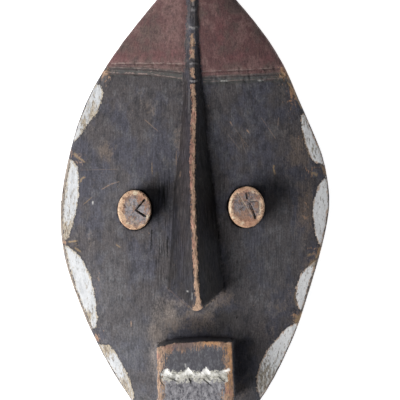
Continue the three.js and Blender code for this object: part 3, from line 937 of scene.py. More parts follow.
        ragged = b.swing(n.speck, 2.4)
        aside = b.step(b.read(Mark.NOSE), 0.0, 1.0)
        # Painted shade under each brow groove.
        under = b.product(b.line(Line.BROW_SHADE, ragged), aside, 0.8)
        colour = b.blend(under, colour, self.maroon_dark)
        # Painted highlight on worn wood along each brow groove's lit upper edge, broken in places.
        colour = b.blend(b.product(b.line(Line.BROW, ragged), patchy, aside), colour, self.brow_highlight)
        colour = b.blend(b.line(Line.KNOB, b.swing(n.speck, 1.2)), colour, self.knob_grey)
        return colour

    def bare_wood(self, b: Bench, n: Patterns) -> Socket:
        """Wood where the paint is gone: red-brown to tan, orange in places, dirt in its grain."""
        patch = b.noise((2.2, 9, 2.2), 4, 0.6, 31.0)
        tone = b.total(b.read(Mark.TONE), b.swing(patch, 0.9))
        colour = b.blend(b.step(tone, 0.05, 0.95), self.wood_red, self.wood_tan)
        orange = b.total(b.read(Mark.ORANGE), b.swing(n.blotch, 0.8))
        colour = b.lay(colour, self.wood_orange, orange, 0.35, 0.95, 0.85)
        red = b.step(b.total(b.read(Mark.RED), b.swing(n.blotch, 2.0)), 0.25, 0.85)
        colour = b.blend(b.product(red, 0.8), colour, self.wood_salmon)
        colour = b.shade(colour, b.factor(n.grain, 0.9))
        colour = b.shade(colour, b.factor(n.blotch, 0.9))
        mauve = b.step(b.total(b.read(Mark.DARK), b.swing(n.grain, 1.6)), 0.2, 0.8)
        colour = b.blend(b.product(mauve, 0.75), colour, self.wood_mauve)
        streaks = b.product(b.step(b.noise((0.8, 4.5, 0.8), 3, 0.65, 37.0), 0.49, 0.62), 0.7)
        dirty = b.most(streaks, b.product(b.step(n.speck, 0.54, 0.70), 0.6))
        return b.blend(dirty, colour, self.wood_dirt)

    def wear(self, b: Bench, n: Patterns, paint: Socket, wood: Socket) -> Socket:
        """Takes the paint off along the crest, on rubbed edges and in flecks."""
        ragged = b.total(b.swing(n.blotch, 1.6), b.swing(n.speck, 1.2))
        crest = b.total(b.read(Mark.CREST), b.swing(n.speck, 2.8), b.swing(n.blotch, 2.2))
        worn = b.step(b.total(b.read(Mark.CREST_WORN), b.swing(n.blotch, 0.9)), 0.35, 0.75)
        crest = b.product(b.step(crest, -0.3, 0.6), worn)
        rubbed = b.total(b.product(b.read(Mark.WORN), 5.0), ragged)
        edges = b.step(b.math("SUBTRACT", rubbed, b.read(Mark.CONVEX)), 0.7, 2.2)
        fleck = b.noise((2.0, 3.6, 2.0), 4, 0.7, 83.0)
        flecks = b.step(b.total(fleck, b.product(b.read(Mark.FLECKS), 0.2)), 0.66, 0.78)
        shown = b.blend(b.most(crest, edges, b.product(flecks, 0.8)), paint, wood)
        return b.blend(b.product(b.line(Line.RUB, b.swing(n.speck, 3.0)), 0.85), shown, self.wood_gold)

    def clay_paint(self, b: Bench, n: Patterns, shown: Socket) -> Socket:
        """White clay on the edge facets, stained at its borders, beside a bare strip of the rim, lighter on
        the right as painted light.
        """
        inside = b.read(Mark.CLAY)
        stain = b.noise((2.4, 6, 2.4), 4, 0.68, 57.0)
        # Painted light: the clay turns lighter and less grey towards the right, whose facets face away from
        # the lamp.
        colour = b.blend(b.read(Mark.RIGHT_LIGHT_AND_TINT), self.clay, self.clay_lit_right)
        pale = b.noise((4, 14, 4), 4, 0.6, 58.0)
        greyed = b.product(b.step(pale, 0.44, 0.68), b.total(0.5, b.product(b.read(Mark.RIGHT_LIGHT_AND_TINT), -0.4)))
        colour = b.blend(greyed, colour, self.clay_grey)
        cream = b.total(b.read(Mark.STAIN), b.swing(stain, 1.8))
        border = b.product(b.step(b.total(inside, b.swing(stain, 4.5)), 1.6, 0.0), 0.75)
        edge = b.blend(b.product(b.read(Mark.RIGHT_LIGHT_AND_TINT), 0.7), self.clay_cream, self.wood_orange)
        veins = b.step(b.noise((1.0, 6, 1.0), 3, 0.65, 59.0, 0.25), 0.46, 0.60)
        colour = b.lay(colour, self.clay_cream, cream, 0.15, 0.95, 0.8)
        colour = b.blend(b.product(veins, b.step(cream, 0.1, 0.6), 0.7), colour, self.wood_dirt)
        colour = b.blend(border, colour, edge)
        spot = b.noise((1.2, 1.6, 1.2), 2, 0.5, 91.0)
        colour = b.lay(colour, self.wood_dirt, spot, 0.68, 0.78, 0.7)
        colour = b.shade(colour, b.factor(n.speck, 0.3))
        rim = b.blend(b.step(n.blotch, 0.48, 0.70), self.strip, self.wood_dirt)
        along_rim = b.step(b.total(b.read(Mark.STRIP), b.swing(n.speck, 0.8)), -0.3, 0.4)
        shown = b.blend(b.product(along_rim, 0.85), shown, rim)
        outline = b.product(b.step(inside, -1.6, -0.2), b.step(inside, 0.6, -0.2), 0.5)
        shown = b.blend(outline, shown, self.soot)
        covered = b.total(inside, b.swing(n.speck, 2.6), b.swing(n.blotch, 2.0))
        return b.lay(shown, colour, covered, -0.1, 0.5)

    def mouth_paint(self, b: Bench, n: Patterns, shown: Socket, wood: Socket) -> Socket:
        """The mouth's front: bare borders, a dark panel, white teeth and a pale lower lip."""
        mottle = b.noise((2.2, 3.6, 2.2), 4, 0.7, 63.0)
        fine = b.noise((0.9, 2.2, 0.9), 3, 0.7, 65.0)
        ragged = b.total(b.swing(n.blotch, 7.0), b.swing(n.speck, 7.0), b.swing(n.grain, 9.0))
        lip = b.total(b.read(Mark.LIP), ragged)
        front = b.step(b.read(Mark.LIP), -40.0, -39.0)
        panel = b.shade(b.blend(b.step(mottle, 0.46, 0.62), self.panel, self.dust), b.factor(fine, 0.6))
        shown = b.blend(b.product(front, 0.8), shown, panel)
        lower = b.blend(b.step(mottle, 0.42, 0.62), self.lip_lilac, self.panel)
        cloudy = b.noise((4, 6, 4), 4, 0.72, 67.0)
        lower = b.lay(lower, self.lip_white, cloudy, 0.48, 0.64, 0.7)
        lower = b.shade(lower, b.factor(fine, 0.5))
        shown = b.blend(b.product(b.read(Mark.PALE), 0.95), shown, lower)
        shown = b.blend(b.product(b.step(lip, 1.8, -1.4), front, 0.92), shown, wood)
        smear = b.step(b.total(b.read(Mark.SMEAR), b.swing(mottle, 2.8), b.swing(fine, 1.2)), 0.20, 0.90)
        curd = b.noise((3.2, 1.5, 3.2), 4, 0.65, 69.0)
        cream = b.blend(b.step(curd, 0.42, 0.66), self.smear_cream, self.smear_olive)
        shown = b.blend(b.product(smear, b.step(b.read(Mark.SMEAR), 0.02, 0.2), 0.9), shown, cream)
        tooth = b.step(b.total(b.read(Mark.TOOTH), b.swing(n.speck, 3.2)), -0.7, 0.3)
        tooth = b.most(tooth, b.line(Line.DAB_AND_HIGHLIGHT, b.swing(mottle, 2.0)))
        return b.blend(b.product(tooth, 0.96), shown, b.shade(self.tooth_white, b.factor(fine, 0.25)))

    def hollow_wood(self, b: Bench, n: Patterns, shown: Socket) -> Socket:
        """Plain dark wood in the hollow and on the rim behind, streaked along its grain."""
        streaks = b.noise((2.6, 48, 2.6), 4, 0.6, 75.0)
        colour = b.blend(b.step(streaks, 0.40, 0.62), self.hollow, self.hollow_dark)
        colour = b.lay(colour, self.hollow_dark, n.cloud, 0.46, 0.62, 0.5)
        colour = b.shade(colour, b.factor(n.grain, 0.7))
        return b.blend(b.step(b.read(Mark.BACK), 0.3, 0.7), shown, colour)


@dataclass(frozen=True)
class BranchEnd:
    """An eye's finish: the sawn end of a branch, grey inside and tan at its rim."""

    shift: float
    core: Colour = (0.205, 0.180, 0.180)
    core_dark: Colour = (0.105, 0.088, 0.085)
    core_brown: Colour = (0.24, 0.165, 0.12)
    core_pale: Colour = (0.40, 0.385, 0.41)
    rim: Colour = (0.68, 0.465, 0.315)
    rim_orange: Colour = (0.30, 0.165, 0.105)
    # pale dabs on the rim, and painted highlight along its left edge
    rim_pale_and_highlight: Colour = (0.82, 0.69, 0.51)
    bark: Colour = (0.085, 0.055, 0.042)
    pale: Colour = (0.42, 0.33, 0.26)
    chip: Colour = (0.36, 0.185, 0.125)
    crack: Colour = (0.005, 0.004, 0.004)
    specular: float = 0.2

    def build(self, name: str) -> bpy.types.Material:
        """Makes the eye's material under this name."""
        b = Bench(name)
        radial = b.read(Mark.RAYS)
        blotch = b.noise((4, 4, 9), 4, 0.65, self.shift)
        speck = b.noise((0.9, 0.9, 2.5), 3, 0.65, self.shift)
        fibre = b.noise((0.7, 1.6, 3.0), 3, 0.7, self.shift + 3.0)
        aged = b.step(b.total(blotch, b.product(radial, 0.15)), 0.44, 0.60)
        colour = b.blend(aged, self.core, self.core_dark)
        colour = b.lay(colour, self.core_pale, fibre, 0.54, 0.66, 0.6)
        warm = b.total(b.read(Mark.BROWN), b.swing(blotch, 2.4), b.swing(speck, 1.2))
        colour = b.lay(colour, self.core_brown, warm, 0.3, 0.8, 0.8)
        rim = b.blend(b.step(b.total(blotch, b.product(speck, 0.5)), 0.72, 0.92), self.rim, self.rim_orange)
        width = b.total(b.read(Mark.RIM), b.swing(blotch, 5.0), b.product(radial, 0.8), b.swing(speck, 2.4))
        colour = b.lay(colour, rim, width, 0.8, -0.8)
        inner = b.product(b.step(width, 0.2, 1.0), b.step(width, 2.2, 1.0), 0.6)
        colour = b.blend(inner, colour, self.rim_orange)
        chipped = b.step(b.total(b.read(Mark.ORANGE), b.swing(fibre, 3.0)), 0.25, 0.8)
        colour = b.blend(b.product(chipped, 0.8), colour, self.chip)
        # Pale dabs on the rim, and painted highlight along its left edge where the lamp falls.
        colour = b.blend(b.line(Line.DAB_AND_HIGHLIGHT, b.swing(speck, 2.0)), colour, self.rim_pale_and_highlight)
        colour = b.blend(b.line(Line.SCRATCH, b.swing(speck, 1.2)), colour, self.pale)
        colour = b.lay(colour, self.bark, speck, 0.56, 0.72, 0.35)
        colour = b.shade(colour, b.factor(fibre, 0.8))
        colour = b.blend(b.line(Line.CRACK, b.swing(speck, 0.8)), colour, self.crack)
        colour = b.lay(colour, self.bark, b.read(Mark.BACK), 0.25, 0.75)
        height = b.total(b.product(blotch, 0.5), b.product(fibre, 0.5), b.product(speck, 0.6))
        return b.done(colour, b.step(speck, -0.6, 1.0), b.bump(height, 0.8, 0.8), self.specular)


def distance_to(line: Sequence[Point], p: np.ndarray) -> np.ndarray:
    """Distance in plan from each point to a bent line."""
    away = np.full(len(p), np.inf)
    for start, end in zip(line[:-1], line[1:]):
        a, run = np.array(start), np.subtract(end, start)
        t = np.clip((p[:, :2] - a) @ run / (run @ run), 0, 1)
        away = np.minimum(away, np.linalg.norm(p[:, :2] - a - t[:, None] * run, axis=1))
    return away


@dataclass(frozen=True)
class Facet:
    """A white facet along the outline, in millimetres: its inner border runs upwards.

    A strip of bare wood is left between it and the outline.
    """

    side: Side
    strip: float
    border: tuple[Point, ...]

    def inside(self, p: np.ndarray) -> np.ndarray:
        """How far each point is inside the inner border, negative beyond it."""
        x, y = np.array(self.border).T
        within = (p[:, 1] > y[0]) & (p[:, 1] < y[-1])
        outer = (p[:, 0] - np.interp(p[:, 1], y, x)) * self.side.value > 0
        return distance_to(self.border, p) * np.where(within & outer, 1, -1)


@dataclass
class Outline:
    """The mask's outline, read off the solid, in millimetres."""

    tree: BVHTree
    half_length: float = 229.0
    height: float = 4.0
    reach: float = 200.0
    y: np.ndarray = field(init=False)
    edges: dict[Side, np.ndarray] = field(init=False)

    def __post_init__(self) -> None:
        """Feels for the wall from both sides."""
        self.y = np.arange(-self.half_length, self.half_length + 0.5, 1.0)
        self.edges = {side: self.feel(side) for side in Side}
        places = [(x, y) for side in Side for x, y in zip(self.edges[side], self.y)]
        self.near = KDTree(len(places))
        for i, (x, y) in enumerate(places):
            self.near.insert(Vector((x, y, 0)), i)
        self.near.balance()

    def feel(self, side: Side) -> np.ndarray:
        """Reads the outline on one side."""
        found = []
        for y in self.y:
            start = Vector((side.value * self.reach, y, self.height)) * MM
            hit = self.tree.ray_cast(start, Vector((-side.value, 0, 0)))[0]
            found.append(hit.x / MM)
        return np.array(found)

    def distance(self, points: np.ndarray) -> np.ndarray:
        """Distance in plan from each point to the outline."""
        return np.array([self.near.find(Vector((x, y, 0)))[2] for x, y, _ in points])


@dataclass
class MaskBoard:
    """The carved board with its nose, mouth block, brow lines and edge facets. Sizes are millimetres."""

    grid_mm: float = 2.9
    crest_x: Stations = (
        (-76, 2.6), (-66, 2.5), (-50, 1.3), (-24, 0.3), (2, -0.9), (28, -1.6), (54, -2.0), (81, -1.4),
        (104, -0.9), (122, -1.9), (230, -2),
    )
    crest_half: Stations = (
        (-76, 5.6), (-73, 4.2), (-69, 2.4), (-60, 2.0), (-20, 2.2), (100, 2.2), (122, 2.0), (230, 1.8),
    )
    crest_worn: Stations = (
        (-80, 1), (119, 1), (122, 0.1), (125, 0.2), (128, 0.8), (133, 0.8), (137, 0.1), (141, 0.15),
        (145, 0.85), (150, 0.8), (153, 0.35), (157, 0.85), (165, 0.85), (168, 0.1), (188, 0.1), (191, 0.5),
        (230, 0.5),
    )
    crest_tone: Stations = (
        (-78, 1.1), (-40, 1.15), (0, 1.0), (60, 0.85), (105, 0.9), (125, 1.0), (230, 0.9),
    )
    nose_x: Stations = ((-60, 1.3), (0, -0.2), (60, -1.2), (106, -1.1), (125, -2.2), (230, -2.1))
    nose_half: Stations = (
        (-60, 25.5), (-15, 21.5), (30, 17.5), (65, 13), (106, 10), (125, 8.7), (143, 7), (160, 6.1),
        (183, 5.3), (230, 4.6),
    )
    nose_tip: float = -76.0
    nose_tip_x: float = 1.3
    nose_slant: float = 0.72
    nose_top: float = 224.0
    mouth_front: float = 60.0
    mouth_top: float = -101.0
    mouth_arch: Stations = ((-32, -106.6), (-14, -104.3), (0, -102.8), (14, -102.8), (32, -103.5))
    mouth_left: Stations = ((-170, -29.0), (-146, -29.0), (-138, -27.5), (-112, -27.0))
    mouth_right: Stations = ((-170, 24.5), (-142, 25.0), (-136, 27.0), (-104, 27.4))
    mouth_border: Stations = ((-32, 5.5), (-22, 6.5), (-14, 6.2), (-4, 6.0), (3, 5.2), (14, 4.8), (32, 4.8))
    teeth: tuple[Point, ...] = ((-24.7, -130.0), (-5.8, -129.6), (9.4, -129.0))
    tooth_width: float = 10.4
    tooth_height: float = 6.0
    tooth_base: float = 0.4
    facets: tuple[Facet, ...] = (
        Facet(Side.LEFT, 0.5, (
            (-108, 71), (-104.1, 73.1), (-97.9, 81.1), (-91.7, 89.9), (-87.3, 96.1), (-82.9, 104.9),
            (-81.2, 114.6), (-83.3, 120.8), (-91, 123.5),
        )),
        Facet(Side.LEFT, 3.0, (
            (-120, -19.5), (-111.1, -14.3), (-108.6, -3.7), (-105.9, 6), (-102.8, 19.2), (-102.3, 32.5),
            (-103.2, 47.5), (-108.6, 54.6), (-114, 56.5),
        )),
        Facet(Side.LEFT, 2.4, (
            (-95, -98.5), (-87, -92.9), (-86.1, -84.5), (-87.7, -69.1), (-91.5, -51.4), (-99.2, -32.7),
            (-108.1, -24.9), (-113.5, -21.4), (-120, -20.5),
        )),
        Facet(Side.LEFT, 0.8, (
            (-56, -166), (-53.9, -151.9), (-59.5, -134.2), (-68.4, -117.7), (-74.9, -109.2),
            (-82.1, -108.4), (-90, -108),
        )),
        Facet(Side.RIGHT, 0.8, (
            (115, 50), (109.9, 51.1), (103.4, 54.6), (97.7, 68.4), (93.7, 84), (93.7, 94.3),
            (96.7, 95.8), (102, 97),
        )),
        Facet(Side.RIGHT, 1.0, (
            (119, -23), (110, -20.1), (106.5, -11.6), (103.6, 8.7), (104.6, 19.2), (110.4, 34),
            (115.8, 40.4), (120, 42),
        )),
        Facet(Side.RIGHT, 2.0, (
            (99, -83), (93.7, -79.7), (91.3, -74.9), (88.9, -66.1), (89.9, -56.4), (92.8, -46.5),
            (99.7, -39.6), (107.9, -32.9), (113, -31),
        )),
        Facet(Side.RIGHT, 0.8, (
            (62, -166), (56.5, -154.4), (54.6, -146.6), (54.6, -136.8), (57.5, -124.9), (63.4, -114.1),
            (72.2, -103.4), (81.1, -93.6), (86.9, -90.6), (95, -88.5),
        )),
    )
    mouth_low: float = 54.0
    mouth_half: float = 33.1
    mouth_middle: float = -0.1
    lip_down: float = 3.5
    smear_low: Point = (-141.0, -135.0)
    smear_high: Point = (-127.0, -131.0)
    smear_sides: Point = (31, 26)
    pale_lip: Point = (-134, -139)
    # span over which the clay turns to its lighter right tone, as painted light
    right_light_and_tint_span: Point = (-30, 30)
    teeth_band: Point = (-143, -124)
    hollow_top: float = 26.5
    hollow_foot: float = 10.0
    rim_half: float = 6.0
    painted_edge: float = 0.8
    strip_down: float = 2.0
    strip_low: float = 6.0
    tip_bulge: Patch = Patch(0.8, -76, 5, 7, 2.3)
    bulge_height: Point = (24, 40)
    knob_pinch: Patch = Patch(-4.2, 135.2, 3, 3)
    pinch_low: float = 15.0
    relax_clear: Point = (0.8, 3.5)
    relax_rounds: int = 16
    brow_rounds: int = 3
    brow_reach: float = 1.9
    brow_half: float = 80.0
    pinch_rounds: int = 12
    swell: tuple[Triple, float] = ((34, 46, 30), 0.45)
    grain: tuple[Triple, float] = ((5, 42, 5), 0.22)
    chips: tuple[Triple, float] = ((7, 9, 7), 0.9)
    surface_drop: float = 0.25
    edge_reach: float = 3.2
    edge_round: float = 0.35
    adze: tuple[Triple, float] = ((15, 24, 15), 0.9)
    hollow_swell: tuple[Triple, float] = ((40, 40, 40), 0.5)
    foot: Point = (0.3, 6.0)
    crest_margin: float = 1.5
    crest_low: float = 22.0
    brow_low: float = 14.0
    rim_band: float = 2.5
    # how much the nose's sides are darkened, left and right: darker paint on the left, painted shade on the
    # right
    flank_dark: Point = (0.60, 0.68)
    flank_fade: Point = (175, 100)
    flank_up: Point = (1.0, 0.93)
    nose_edge: Point = (0.5, -1.0)
    edge_tone: float = 0.85
    edge_orange: Point = (0.35, 0.6)
    crest_orange: float = 0.25
    crest_zones: tuple[Triple, ...] = ((30.0, nose_tip - 4, -0.3), (20.0, 100.0, 0.4))
    border_drop: float = 0.3
    border_left: Point = (-26, -10)
    redder: Point = (0.35, 0.5)
    redder_side: Point = (0.4, -1.2)
    redder_top: float = 110.0
    redder_foot: float = -60.0
    level: float = -0.05
    wall_share: float = 0.35
    made: Carving = field(init=False)
    facing: np.ndarray = field(init=False)
    outline: Outline = field(init=False)
    back: np.ndarray = field(init=False)
    convex: np.ndarray = field(init=False)

    def build(self) -> bpy.types.Object:
        """Carves, marks and paints the board, and returns the finished piece."""
        made = self.made = Carving("mask_board", "carved_board", self.grid_mm)
        made.refine(self.front_places)
        made.refine(self.fine_places)
        made.relax(self.relax_rounds, made.clear_of_edges(*self.relax_clear))
        self.facing = made.facing
        p = made.points()
        brow = self.by_brow(p) & (self.facing[:, 2] > 0.5) & (np.abs(p[:, 0]) < self.brow_half)
        made.relax(self.brow_rounds, brow.astype(float))
        made.relax(self.pinch_rounds, self.knob_pinch.over(p) * (p[:, 2] > self.pinch_low))
        self.outline = Outline(made.tree)
        self.work_surface()
        made.keep_inside(*CAD_BOX)
        self.mark_paint()
        self.mark_clay()
        self.mark_mouth()
        return made.finish(PaintedWood().build(), "painted_board", "mask_board")

    def crest_inside(self, p: np.ndarray) -> np.ndarray:
        """How far each point is inside the crest's edges, in plan."""
        return along(self.crest_half, p[:, 1]) - np.abs(p[:, 0] - along(self.crest_x, p[:, 1]))

    def front_places(self, p: np.ndarray, facing: np.ndarray) -> np.ndarray:
        """Where the mesh is made finer at first: all of the front and the side wall."""
        return facing[:, 2] > self.level

    def fine_places(self, p: np.ndarray, facing: np.ndarray) -> np.ndarray:
        """Where it is made finer again: the crest, the brow lines, the teeth and the mouth's rim."""
        _, y, z = p.T
        crest = (self.crest_inside(p) > -self.crest_margin) & (z > self.crest_low) & (y > self.nose_tip - 2)
        brow = self.by_brow(p) & (facing[:, 2] > 0.5) & (z > self.brow_low)
        front = (z > self.mouth_front - 4) & (y < self.mouth_top + 1)
        low, high = self.teeth_band
        _, gap = self.mouth_distance(p)
        return crest | brow | front & ((y < high) & (y > low) | (gap < self.rim_band))

    def by_brow(self, p: np.ndarray) -> np.ndarray:
        """Whether each point is beside a brow line."""
        beside = np.zeros(len(p), bool)
        for line in BROW_LINES:
            xs, ys = np.array(line.points).T
            reach = (p[:, 0] > xs[0] - 1) & (p[:, 0] < xs[-1] + 1)
            beside |= reach & (np.abs(p[:, 1] - np.interp(p[:, 0], xs, ys)) < self.brow_reach)
        return beside

    def mouth_distance(self, p: np.ndarray) -> tuple[np.ndarray, np.ndarray]:
        """Measures the mouth's front in plan.

        Args:
            p: places, in millimetres.

        Returns:
            How far each point is inside the dark panel, and inside the front's own outline.
        """
        x, y, _ = p.T
        below = along(self.mouth_arch, x) - y
        left, right = x - along(self.mouth_left, y), along(self.mouth_right, y) - x
        panel = np.min([left, right, below - along(self.mouth_border, x)], axis=0)
        front = np.minimum(self.mouth_half - np.abs(x - self.mouth_middle), below)
        return panel, front

    def work_surface(self) -> None:
        """Gives the wood its tool marks, worn edges and chips."""
        made, p = self.made, self.made.points()
        edge = self.outline.distance(p)
        under = (self.facing[:, 2] < self.level) & (p[:, 2] < self.hollow_top) & (edge > self.painted_edge)
        self.back = under | ((p[:, 2] < self.hollow_foot) & (edge > self.rim_half))
        rests = p[:, 2] < self.foot[0]
        self.convex = made.convex.nearest(p * MM)[1] / MM
        (swell, high), (grain, deep), (chips, gone) = self.swell, self.grain, self.chips
        front = ripple(p, swell, 2.3) * high + ripple(p, grain, 7.7) * deep - self.surface_drop
        lost = self.edge_round + gone * ease(ripple(p, chips, 4.1, 3), 0.05, 0.6)
        front -= ease(self.convex, self.edge_reach, 0.0) * lost
        (adze, deep), (swell, high) = self.adze, self.hollow_swell
        hollow = ripple(p, swell, 5.5) * high - scallops(p, adze) * deep
        up = ease(p[:, 2], *self.foot)
        depth = np.where(self.back, hollow * up, front * (self.wall_share + (1 - self.wall_share) * up))
        depth[rests] = 0
        made.push(depth)
        moved = made.points()
        moved[:, 1] -= self.tip_bulge.over(moved) * ease(moved[:, 2], *self.bulge_height)
        moved[rests, 2] = 0
        made.put(moved)

    def mark_paint(self) -> None:
        """Writes on each point what the painter and the years did to the face, the brow and the crest, and
        the painted shade.
        """
        made, p = self.made, self.made.points()
        x, y, z = p.T
        up = self.facing[:, 2]
        made.mark(Mark.BACK, self.back.astype(float))
        made.mark(Mark.CONVEX, self.convex)
        left, right = (np.array(BROW_LINES[k].points).T for k in (1, 4))
        made.mark(Mark.BROW, y - np.where(x < 0, np.interp(x, *left), np.interp(x, *right)))
        nose = np.abs(x - along(self.nose_x, y)) - along(self.nose_half, y)
        nose = np.maximum(nose, self.nose_tip + self.nose_slant * np.abs(x - self.nose_tip_x) - y)
        made.mark(Mark.NOSE, np.where(y > self.nose_top, 5.0, nose))
        zones = [(z > low) & (y > start) & (up > least) for low, start, least in self.crest_zones]
        on_crest = np.any(zones, axis=0)
        made.mark(Mark.CREST, np.where(on_crest, self.crest_inside(p), -5.0))
        made.mark(Mark.CREST_WORN, along(self.crest_worn, y))
        # The nose's steep sides are darkened: darker paint on the left, and painted shade on the right, away
        # from the lamp.
        darker = np.where(x < along(self.crest_x, y), *self.flank_dark) * ease(up, *self.flank_up)
        made.mark(Mark.FLANK_DARK_AND_SHADE, ease(nose, *self.nose_edge) * darker * ease(y, *self.flank_fade))
        # The painted shade stays below the mouth's front; dust and chalk stay off the nose.
        limits = {Mark.PAINTED_SHADE: z < self.mouth_low, Mark.DUST: nose > 0, Mark.CHALK: nose > -0.5}
        for mark, places in PLACES.items():
            made.mark(mark, gather(places, p) * limits.get(mark, 1))
        # Left to right across the face, for the clay's painted light and its borders' tint.
        made.mark(Mark.RIGHT_LIGHT_AND_TINT, ease(x, *self.right_light_and_tint_span))
        for kind, drawn in STROKES.items():
            made.draw(kind, drawn)

    def mark_clay(self) -> None:
        """Writes how far each point is inside a white facet, and inside the bare strip beside it."""
        made, p = self.made, self.made.points()
        edge = self.outline.distance(p)
        clay = np.full(len(p), FAR)
        strip = np.full(len(p), FAR)
        for facet in self.facets:
            inside = facet.inside(p)
            clay = np.maximum(clay, np.minimum(inside, edge - facet.strip))
            strip = np.maximum(strip, np.minimum(inside, facet.strip - edge))
        front = self.facing[:, 2] > 0.2
        made.mark(Mark.CLAY, np.where(front, clay, FAR))
        along_front = front | ((self.convex < self.strip_down) & (p[:, 2] > self.strip_low))
        made.mark(Mark.STRIP, np.where(along_front & ~self.back, strip, FAR))

    def mark_mouth(self) -> None:
        """Writes the parts of the mouth's front, and the tone of all bare wood."""
        made, p = self.made, self.made.points()
        x, y, z = p.T
        front = (z > self.mouth_front - self.lip_down) & (y < self.mouth_top + 1)
        mouth = front & (self.facing[:, 2] > 0.3)
        panel, _ = self.mouth_distance(p)
        made.mark(Mark.LIP, np.where(mouth, panel, 3 * FAR))
        made.mark(Mark.TOOTH, np.where(front, self.tooth_inside(p), FAR))
        band = ease(y, *self.smear_low) * ease(y, *self.smear_high) * ease(np.abs(x), *self.smear_sides)
        made.mark(Mark.SMEAR, np.where(mouth, band, 0.0))
        made.mark(Mark.PALE, np.where(mouth, ease(y, *self.pale_lip), 0.0))
        tone = np.where(front, 1.0 - self.border_drop * ease(x, *self.border_left), along(self.crest_tone, y))
        on_face = (self.crest_inside(p) < -2.0) & ~front
        redder = np.where(y > self.redder_top, *self.redder)
        redder *= ease(x - along(self.crest_x, y), *self.redder_side)
        tone -= redder * ~front * (y > self.redder_foot)
        made.mark(Mark.TONE, np.where(on_face, self.edge_tone, tone))
        orange = np.where(on_face, np.where(x <= 0, *self.edge_orange), self.crest_orange * ~front)
        made.mark(Mark.ORANGE, np.maximum(orange, gather(ORANGE_BORDERS, p) * front))

    def tooth_inside(self, p: np.ndarray) -> np.ndarray:
        """How far each point is inside a tooth, negative outside."""
        best = np.full(len(p), FAR)
        slant = Vector((self.tooth_height, self.tooth_width / 2)).normalized()
        for x, y in self.teeth:
            base = p[:, 1] - (y - self.tooth_height * self.tooth_base)
            apex = y + self.tooth_height * (1 - self.tooth_base)
            sides = (apex - p[:, 1]) * slant[1] - np.abs(p[:, 0] - x) * slant[0]
            best = np.maximum(best, np.minimum(base, sides))
        return best


@dataclass
class EyePeg:
    """An eye: a slice of branch standing in its hole.

    Sizes are millimetres. Cracks and pale streaks are measured from its centre, and the rim's thickness is
    given at angles from its right, in degrees.
    """

    node: str
    name: str
    x: float
    y: float
    width: float
    length: float
    rim: Stations
    cracks: tuple[Stroke, ...]
    streaks: tuple[Stroke, ...]
    dabs_and_highlights: tuple[Stroke, ...]
    browns: tuple[Patch, ...]
    chips: tuple[Patch, ...]
    core: Colour
    core_dark: Colour
    core_brown: Colour
    grid_mm: float = 0.62
    relax_rounds: int = 8
    relax_clear: Point = (0.5, 2.0)
    top_fade: Point = (2.5, 0.3)
    bark_fade: Point = (1.0, 7.0)
    set_deep: float = 9.0
    spoke_size: Triple = (5, 5, 0.8)
    ray_depth: float = 0.14
    end_rough: float = 0.3
    end_drop: float = 0.35
    crack_depth: float = 1.1
    side_rough: float = 0.25
    side_drop: float = 0.3

    def build(self) -> bpy.types.Object:
        """Carves and dresses the eye, and returns the finished piece."""
        made = Carving(self.node, self.name, self.grid_mm)
        made.relax(self.relax_rounds, made.clear_of_edges(*self.relax_clear))
        p = made.points()
        low, high = (corner[2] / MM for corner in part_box(self.node))
        top = ease(high - p[:, 2], *self.top_fade)
        centre = (self.x, self.y)
        x, y = (p[:, :2] - centre).T
        reach = np.hypot(x, y * self.width / self.length) / (self.width / 2)
        from_rim = (1 - reach) * (self.width + self.length) / 4
        angle = np.arctan2(y, x)
        spokes = np.stack([np.cos(angle), np.sin(angle), reach], axis=1) * self.spoke_size + (0, 0, self.x)
        rays = ripple(spokes, (1, 1, 1), 1.5, 3)
        rough = ripple(p, (3, 3, 3), 8.2, 3)
        cut = made.draw(Line.CRACK, self.cracks, centre)
        made.draw(Line.SCRATCH, self.streaks, centre)
        # Pale dabs, and a painted highlight along the rim's left edge.
        made.draw(Line.DAB_AND_HIGHLIGHT, self.dabs_and_highlights, centre)
        end = self.ray_depth * rays + self.end_rough * rough - self.end_drop - self.crack_depth * cut
        side = (self.side_rough * rough - self.side_drop) * ease(p[:, 2], low, low + self.set_deep)
        made.push(np.where(top > 0.5, end, side))
        made.keep_inside(*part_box(self.node))
        thick = along(self.rim, np.degrees(angle))
        made.mark(Mark.RIM, np.where(top > 0.2, from_rim - thick, -1.5))
        made.mark(Mark.BACK, ease(high - p[:, 2], *self.bark_fade))
        made.mark(Mark.RAYS, rays)
        local = p - (*centre, 0)
        made.mark(Mark.BROWN, gather(self.browns, local))
        made.mark(Mark.ORANGE, gather(self.chips, local))
        finish = BranchEnd(self.x, self.core, self.core_dark, self.core_brown)
        return made.finish(finish.build(f"branch_end_{self.node}"), "branch_end", self.node)


